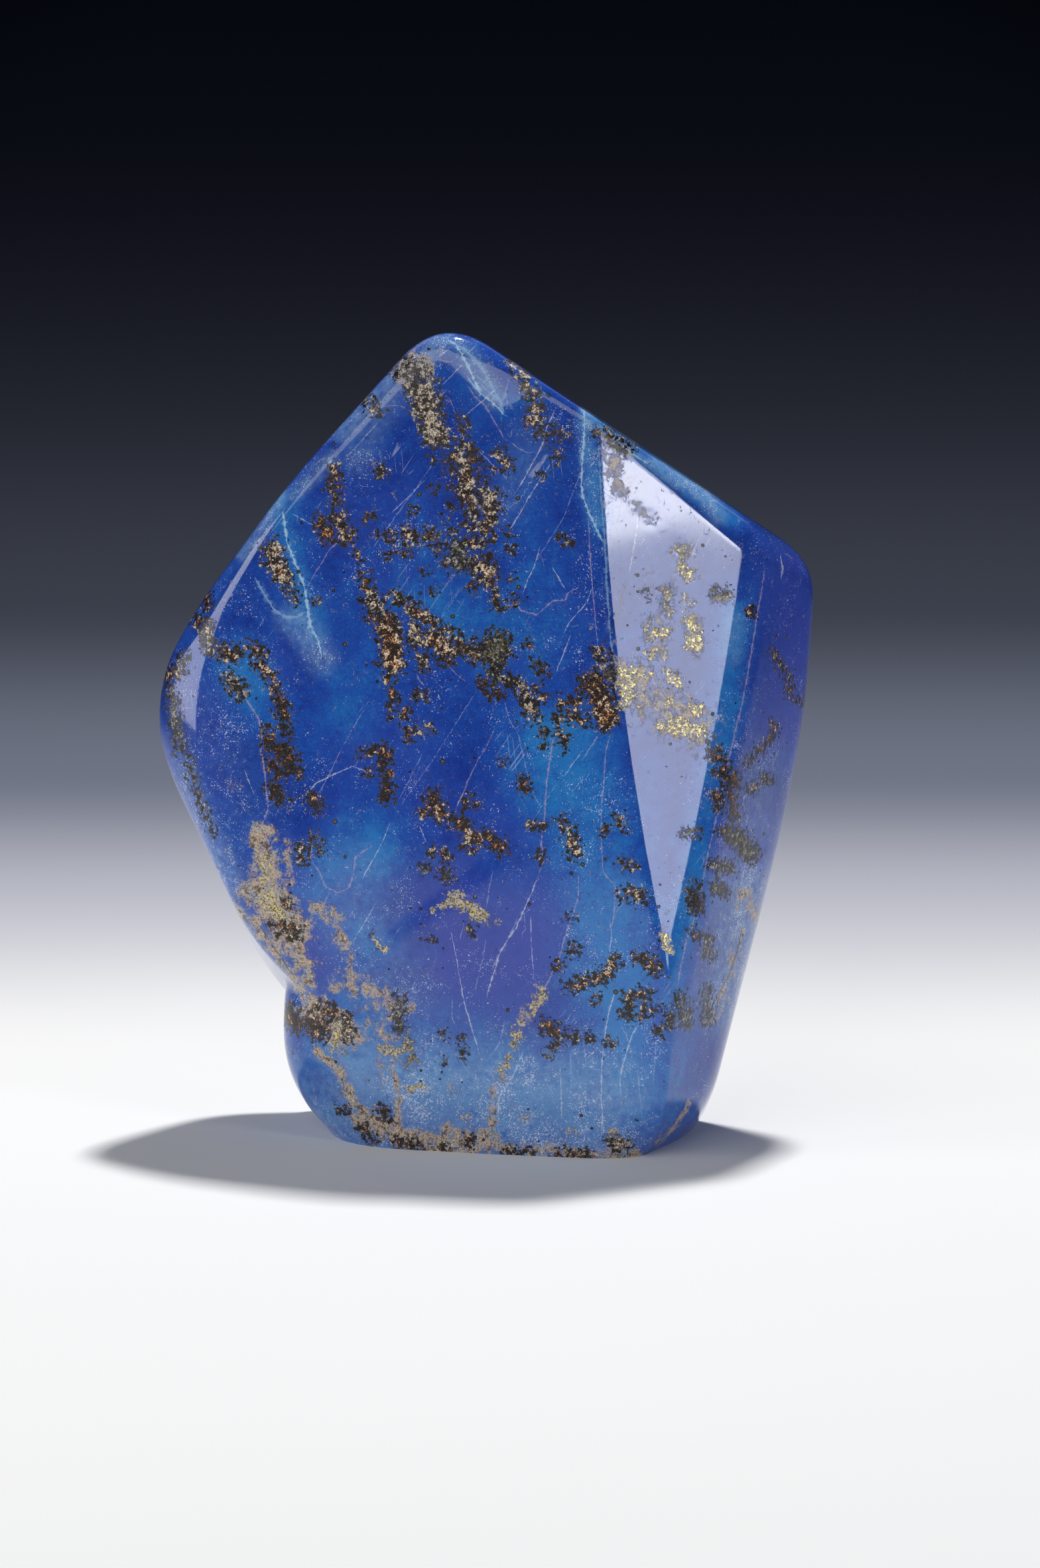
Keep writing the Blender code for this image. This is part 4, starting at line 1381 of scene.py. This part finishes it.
def ore_group():
    """Granular ore: dark rims around grains of rust, cream, olive and gold."""
    minerals = ("Ore Black", "Ore Brown", "Ore Rust", "Ore Cream", "Crust Grey", "Ore Olive", "Ore Gold")
    tree, desk, given, taken = new_group(
        "Ore grains", {"Edge": EDGE_LEAST, "Tone": 0.4, "Gilt": 0.0, "Grain Size": 0.3},
        ("Color", "Mask", "Metal", "Height"), colours=minerals,
    )
    black, brown, rust, cream, grey, olive, gold = (given[name] for name in minerals)
    place, edge, tone, gilt = (given[name] for name in ("Place", "Edge", "Tone", "Gilt"))
    salt = desk.noise(place, desk.math("DIVIDE", GRAIN_FINENESS, given["Grain Size"]), *ORE_GRAINS)
    inside = desk.swing(desk.minus(edge, BODY_INSET), desk.noise(place, *ORE_RAG), RAG_REACH)
    body = desk.ease(inside, *BODY_EDGE)

    region_swing = desk.times(desk.ease(gilt, *PLAIN_SWING), REGION_SWING)
    shade = desk.swing(tone, desk.noise(place, *ORE_REGIONS), region_swing)
    shade = desk.plus(desk.swing(shade, salt, GRAIN_SWING), SHADE_LIFT)
    rusty = desk.mix(desk.ease(shade, *TO_BROWN), black, brown)
    rusty = desk.mix(desk.ease(shade, *TO_RUST), rusty, rust)
    rusty = desk.mix(desk.ease(shade, *TO_CREAM), rusty, cream)
    greenish = desk.mix(desk.ease(shade, *TO_OLIVE), brown, olive)
    greenish = desk.mix(desk.ease(shade, *TO_GREY), greenish, grey)
    plates = desk.ease(desk.noise(place, *ORE_PLATES), *TO_PLATES)
    bright = desk.mix(plates, desk.mix(PALE_GOLD_SHARE, grey, cream), gold)
    golden = desk.ease(gilt, *GOLDEN_GILT)
    colour = desk.mix(desk.ease(gilt, *OLIVE_GILT), rusty, greenish)
    colour = desk.mix(golden, colour, bright)

    light = desk.add_part(LIGHT_LEAST, desk.ease(salt, *DARK_GRAINS), DARK_GRAIN_SHARE, clamp=True)
    colour = desk.mix(light, black, colour)
    bright_grain = desk.times(desk.ease(salt, *BRIGHT_GRAINS), desk.ease(tone, *BRIGHT_TONES))
    colour = desk.mix(desk.times(bright_grain, BRIGHT_SHARE), colour, cream)
    rim_level = desk.swing(inside, desk.noise(place, *ORE_RIM_RAG), RIM_RAG_REACH)
    colour = desk.mix(desk.larger(desk.ease(rim_level, *RIM_EDGE), golden), black, colour)

    pepper = desk.add_part(desk.noise(place, *ORE_PEPPER), desk.ease(edge, *PEPPER_NEAR), PEPPER_PULL)
    pepper = desk.times(desk.ease(pepper, *PEPPER_EDGE), desk.minus(1.0, golden))
    colour = desk.mix(pepper, colour, desk.mix(desk.ease(salt, *PEPPER_TINT), black, brown))
    body = desk.larger(body, pepper)
    cells = desk.node("ShaderNodeTexVoronoi", {"Vector": place, "Scale": DOT_CELLS})
    chance, growth = desk.node("ShaderNodeSeparateColor", {0: cells.outputs["Color"]}).outputs[:2]
    lot = desk.add_part(chance, desk.ease(edge, *DOT_NEAR), DOT_PULL)
    picked = desk.math("GREATER_THAN", lot, DOT_CHANCE)
    within = desk.minus(desk.add_part(DOT_LEAST, growth, DOT_GROWTH), cells.outputs["Distance"])
    dot = desk.times(desk.ease(within, *DOT_EDGE), picked)
    colour = desk.mix(body, desk.mix(desk.ease(within, *DOT_HEART), black, olive), colour)

    mask = desk.larger(body, dot)
    desk.feed(taken["Color"], colour)
    desk.feed(taken["Mask"], mask)
    desk.feed(taken["Metal"], desk.times(desk.times(golden, plates), body))
    desk.feed(taken["Height"], desk.times(mask, desk.plus(salt, plates)))
    return tree


def crust_group():
    """Tan and grey crust that lets the blue through in places."""
    tree, desk, given, taken = new_group(
        "Crust", {"Strength": 0.0}, ("Color", "Mask", "Height"),
        colours=("Crust Tan", "Crust Grey", "Ore Brown", "Ore Gold"),
    )
    place = given["Place"]
    bent = desk.shifted(place, *CRUST_BEND)
    there = desk.swing(given["Strength"], desk.noise(bent, *CRUST_RAG), CRUST_RAG_REACH)
    mask = desk.ease(there, *CRUST_EDGE)
    salt = desk.noise(place, *CRUST_GRAINS)
    to_tan = desk.ease(desk.noise(bent, *CRUST_TINTS), *CRUST_TO_TAN)
    to_umber = desk.ease(desk.noise(bent, *CRUST_UMBER), *CRUST_TO_UMBER)
    colour = desk.mix(to_tan, given["Crust Grey"], given["Crust Tan"])
    colour = desk.mix(to_umber, colour, given["Ore Brown"])
    colour = desk.mix(desk.ease(salt, *CRUST_DARK_GRAINS), colour, given["Ore Brown"])
    glint = desk.ease(desk.noise(place, *CRUST_GLINTS), *CRUST_GLINT_EDGE)
    glint = desk.times(glint, desk.ease(there, *CRUST_GLINT_WHERE))
    colour = desk.mix(glint, colour, given["Ore Gold"])
    desk.feed(taken["Color"], colour)
    desk.feed(taken["Mask"], mask)
    desk.feed(taken["Height"], desk.times(mask, salt))
    return tree


def new_material(name):
    """Start a material; gives it, its desk and the place on the object."""
    material = bpy.data.materials.new(name)
    material.use_nodes = True
    material.node_tree.nodes.clear()
    desk = Desk(material.node_tree)
    return material, desk, desk.node("ShaderNodeTexCoord").outputs["Object"]


def stone_material(colours, sizes):
    """Polished lapis lazuli."""
    material, desk, spot = new_material("polished_lapis")
    per_mm = 1.0 / MM
    place = desk.node("ShaderNodeMapping", {"Vector": spot, "Scale": (per_mm, per_mm, per_mm)}).outputs[0]

    def placed(tree, **values):
        return place_group(desk, tree, place, colours, **values)

    # The violet and azure fields carry painted reflections besides the stone's own tones.
    ground = placed(ground_group(), azure=desk.field("azure"), violet=desk.field("violet"))
    specks = placed(speck_group(), crowding=desk.field("pale"))
    # Pale haze: in places a painted highlight and a painted reflection of the pale floor.
    colour = desk.mix(desk.times(specks["Haze"], HAZE_AND_SHEEN_SHARE), ground["Color"], colours.pale_blue)
    scratches = scratch_group()
    scratched = None
    for across, along, share in SCRATCH_WAYS:
        lines = placed(scratches, across=across, along=along, share=share)["Lines"]
        colour = desk.mix(desk.times(lines, SCRATCH_STRENGTH), colour, colours.vein_white)
        scratched = lines if scratched is None else desk.larger(scratched, lines)
    colour = desk.mix(desk.times(specks["Specks"], sizes.speck_amount), colour, colours.vein_white)
    crust = placed(crust_group(), strength=desk.field("crust"))
    colour = desk.mix(crust["Mask"], colour, crust["Color"])
    veins = vein_group()
    for name, kind in LINE_SETS.items():
        width = desk.times(desk.field(name + "_width"), kind.breadth)
        line = placed(
            veins, gap=desk.field(name + "_gap"), width=width, wander=sizes.vein_wander,
            softness=kind.softness,
        )
        tint = getattr(colours, kind.tint)
        colour = desk.mix(desk.times(line["Glow"], GLOW_STRENGTH), colour, tint)
        colour = desk.mix(desk.times(line["Mask"], kind.strength), colour, tint)
    ore = placed(
        ore_group(), edge=desk.field("ore"), tone=desk.field("ore_tone"), gilt=desk.field("ore_gilt"),
        grain_size=sizes.grain_size / MM,
    )
    colour = desk.mix(ore["Mask"], colour, ore["Color"])

    worn = desk.larger(desk.times(ore["Mask"], WORN_ORE), desk.times(crust["Mask"], WORN_CRUST))
    rough = desk.add_part(desk.plus(worn, POLISH), desk.noise(place, *DULL_PATCHES), DULLNESS)
    height = desk.add_part(desk.times(crust["Height"], CRUST_BUMP), ore["Height"], ORE_BUMP)
    height = desk.add_part(height, specks["Specks"], PIT_BUMP)
    height = desk.add_part(height, scratched, PIT_BUMP)
    bump = desk.node(
        "ShaderNodeBump", {"Strength": BUMP_STRENGTH, "Distance": BUMP_DEPTH, "Height": height}
    )
    shader = desk.node(
        "ShaderNodeBsdfPrincipled",
        {"Base Color": colour, "Metallic": desk.times(ore["Metal"], METAL_SHARE), "Roughness": rough,
         "Normal": bump.outputs[0], "IOR": STONE_IOR},
    )
    desk.node("ShaderNodeOutputMaterial", {"Surface": shader.outputs[0]})
    return material


def floor_material(studio):
    """Pale floor with a painted pool of light, fading into painted shade behind, beside and in front of the
    stone.
    """
    material, desk, spot = new_material("studio_floor")
    axes = desk.node("ShaderNodeSeparateXYZ", {0: spot}).outputs
    sideways, back = axes["X"], axes["Y"]
    colour = studio.floor_colour
    for start, end, tint in FLOOR_FADES:
        colour = desk.mix(desk.ease(back, start, end), colour, tint)
    forward = desk.math("MINIMUM", desk.minus(back, BRIGHT_FRONT), 0.0)
    squares = desk.plus(desk.times(sideways, sideways), desk.times(forward, forward))
    edge = desk.ease(desk.math("SQRT", squares), *BRIGHT_FADE)
    colour = desk.mix(edge, colour, studio.far_colour)
    shader = desk.node(
        "ShaderNodeBsdfPrincipled",
        {"Base Color": colour, "Roughness": FLOOR_ROUGHNESS, "Specular IOR Level": FLOOR_SHINE},
    )
    desk.node("ShaderNodeOutputMaterial", {"Surface": shader.outputs[0]})
    return material


def softbox(name, box, power):
    """A soft rectangular light that looks at the stone."""
    light = bpy.data.lights.new(name, "AREA")
    light.shape = "RECTANGLE"
    light.size, light.size_y = box.width, box.height
    light.energy = power
    light.color = box.tint
    lamp = bpy.data.objects.new(name, light)
    turn, rise = math.radians(box.turn), math.radians(box.rise)
    level = math.cos(rise)
    out = Vector((math.sin(turn) * level, -math.cos(turn) * level, math.sin(rise)))
    lamp.location = Vector((0.0, 0.0, LIT_HEIGHT)) + out * box.distance
    lamp.rotation_euler = out.to_track_quat("Z", "Y").to_euler()
    bpy.context.scene.collection.objects.link(lamp)


def colour_property(name, description, value):
    """One colour that a user may change."""
    return FloatVectorProperty(
        name=name, description=description, subtype="COLOR", size=4, min=0.0, max=1.0, default=value
    )


def power_property(name, description, value):
    """The power of one light, in watts."""
    return FloatProperty(name=name, description=description, default=value, min=0.0, unit="POWER")


class StoneColours(bpy.types.PropertyGroup):
    """Colours of the stone's minerals."""

    deep_blue: colour_property("Deep blue", "Darkest blue of the ground", (0.012, 0.037, 0.27, 1.0))
    middle_blue: colour_property("Middle blue", "Usual blue of the ground", (0.018, 0.078, 0.40, 1.0))
    azure_blue: colour_property("Azure", "Lighter clouds in the ground", (0.026, 0.20, 0.54, 1.0))
    violet_blue: colour_property("Violet blue", "Violet clouds in the ground", (0.040, 0.068, 0.40, 1.0))
    # Pale blue also paints sheen: the haze and the broad pale lines at the tip.
    pale_blue: colour_property("Pale blue", "Haze and broad bleached lines", (0.29, 0.50, 0.74, 1.0))
    vein_white: colour_property("Vein white", "Calcite veins and specks", (0.66, 0.72, 0.86, 1.0))
    # Colour of the pale lines, painted highlights down the falling corner and along the top right crease.
    vein_pale: colour_property("Vein pale", "Bleached edges", (0.42, 0.66, 0.84, 1.0))
    vein_pink: colour_property("Vein pink", "Pinkish veins", (0.50, 0.40, 0.52, 1.0))
    crust_tan: colour_property("Crust tan", "Tan crust", (0.55, 0.42, 0.32, 1.0))
    crust_grey: colour_property("Crust grey", "Grey crust", (0.38, 0.39, 0.42, 1.0))
    ore_black: colour_property("Ore black", "Dark rim of the ore", (0.006, 0.006, 0.008, 1.0))
    ore_brown: colour_property("Ore brown", "Brown ore", (0.060, 0.030, 0.010, 1.0))
    ore_rust: colour_property("Ore rust", "Rusty ore", (0.52, 0.17, 0.035, 1.0))
    ore_cream: colour_property("Ore cream", "Cream grains", (0.84, 0.68, 0.49, 1.0))
    ore_olive: colour_property("Ore olive", "Olive pyrite", (0.14, 0.12, 0.045, 1.0))
    ore_gold: colour_property("Ore gold", "Bright pyrite", (0.85, 0.68, 0.26, 1.0))


class StoneSizes(bpy.types.PropertyGroup):
    """Sizes of the stone's grain and veins."""

    grain_size: FloatProperty(
        name="Grain size", description="Usual width of one ore grain", default=0.3 * MM, min=0.05 * MM,
        max=5.0 * MM, unit="LENGTH", precision=5,
    )
    vein_wander: FloatProperty(
        name="Vein wander", description="How far veins sway, in millimetres", default=0.45, min=0.0, max=3.0
    )
    speck_amount: FloatProperty(
        name="Specks", description="Strength of the pale specks", default=0.8, min=0.0, max=1.0,
        subtype="FACTOR",
    )


class StudioSettings(bpy.types.PropertyGroup):
    """Light and floor of the studio."""

    key_power: power_property("Top light", "Power of the small light high behind the stone", 14.2)
    fill_power: power_property("Front light", "Power of the broad front light", 3.0)
    side_power: power_property("Side light", "Power of the softbox on the right", 2.2)
    band_power: power_property("Band light", "Power of the narrow softbox on the right", 0.18)
    left_power: power_property("Left light", "Power of the softbox on the left", 1.9)
    rear_power: power_property("Rear lights", "Power of each of the two rear softboxes", 0.2)
    floor_colour: colour_property("Floor", "Pale floor around the stone", (0.870, 0.865, 0.855, 1.0))
    # Painted shade where the floor lies far in front of and beside the stone.
    far_colour: colour_property("Far floor", "Floor far in front of and beside the stone", DARK)


class LAPIS_OT_stone(bpy.types.Operator):
    """Build the lapis lazuli stone"""

    bl_idname = "lapis.stone"
    bl_label = "Lapis stone"
    bl_options = {"REGISTER", "UNDO"}

    def execute(self, context):
        mesh = stone_mesh()
        mesh.materials.append(stone_material(context.scene.lapis_colours, context.scene.lapis_sizes))
        stone = bpy.data.objects.new("lapis_stone", mesh)
        context.scene.collection.objects.link(stone)
        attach(stone, "root")
        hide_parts(STONE_NODE)
        return {"FINISHED"}


class LAPIS_OT_stage(bpy.types.Operator):
    """Set up the pale floor, the soft lights and the camera"""

    bl_idname = "lapis.stage"
    bl_label = "Studio stage"
    bl_options = {"REGISTER", "UNDO"}

    def execute(self, context):
        scene = context.scene
        studio = scene.lapis_studio
        bm = bmesh.new()
        bmesh.ops.create_circle(bm, cap_ends=True, segments=FLOOR_SIDES, radius=FLOOR_RADIUS)
        mesh = bpy.data.meshes.new("studio_floor")
        bm.to_mesh(mesh)
        bm.free()
        mesh.materials.append(floor_material(studio))
        floor = bpy.data.objects.new("studio_floor", mesh)
        scene.collection.objects.link(floor)
        for name, box in SOFTBOXES.items():
            softbox(name, box, getattr(studio, box.power))
        world = bpy.data.worlds.new("studio_dark")
        world.use_nodes = True
        world.node_tree.nodes["Background"].inputs["Color"].default_value = DARK
        scene.world = world
        camera = bpy.data.cameras.new("studio_camera")
        camera.sensor_fit = "AUTO"
        camera.sensor_width = SENSOR
        camera.lens = SENSOR * FOCAL_POINTS / PICTURE_HEIGHT
        camera.clip_start = CLIP_START
        camera.clip_end = CLIP_END
        eye = bpy.data.objects.new("studio_camera", camera)
        eye.location = CAMERA_PLACE
        eye.rotation_euler = (math.radians(90.0 - CAMERA_DOWN), 0.0, 0.0)
        scene.collection.objects.link(eye)
        scene.camera = eye
        scene.view_settings.view_transform = "Standard"
        return {"FINISHED"}


class LAPIS_PT_panel(bpy.types.Panel):
    """Lists the stone's operators and settings"""

    bl_idname = "LAPIS_PT_panel"
    bl_label = "Lapis lazuli freeform"
    bl_space_type = "VIEW_3D"
    bl_region_type = "UI"
    bl_category = "Lapis"

    def draw(self, context):
        layout = self.layout
        scene = context.scene
        for operator in (LAPIS_OT_stone, LAPIS_OT_stage):
            layout.operator(operator.bl_idname)
        for settings in (scene.lapis_sizes, scene.lapis_colours, scene.lapis_studio):
            box = layout.box()
            for name in settings.__annotations__:
                box.prop(settings, name)


CLASSES = (
    StoneColours,
    StoneSizes,
    StudioSettings,
    LAPIS_OT_stone,
    LAPIS_OT_stage,
    LAPIS_PT_panel,
)


def register():
    for cls in CLASSES:
        bpy.utils.register_class(cls)
    bpy.types.Scene.lapis_colours = PointerProperty(type=StoneColours)
    bpy.types.Scene.lapis_sizes = PointerProperty(type=StoneSizes)
    bpy.types.Scene.lapis_studio = PointerProperty(type=StudioSettings)


def unregister():
    del bpy.types.Scene.lapis_studio
    del bpy.types.Scene.lapis_sizes
    del bpy.types.Scene.lapis_colours
    for cls in reversed(CLASSES):
        bpy.utils.unregister_class(cls)


def main():
    """Register the add-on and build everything."""
    register()
    bpy.ops.lapis.stone()
    bpy.ops.lapis.stage()


if __name__ == "__main__":
    main()
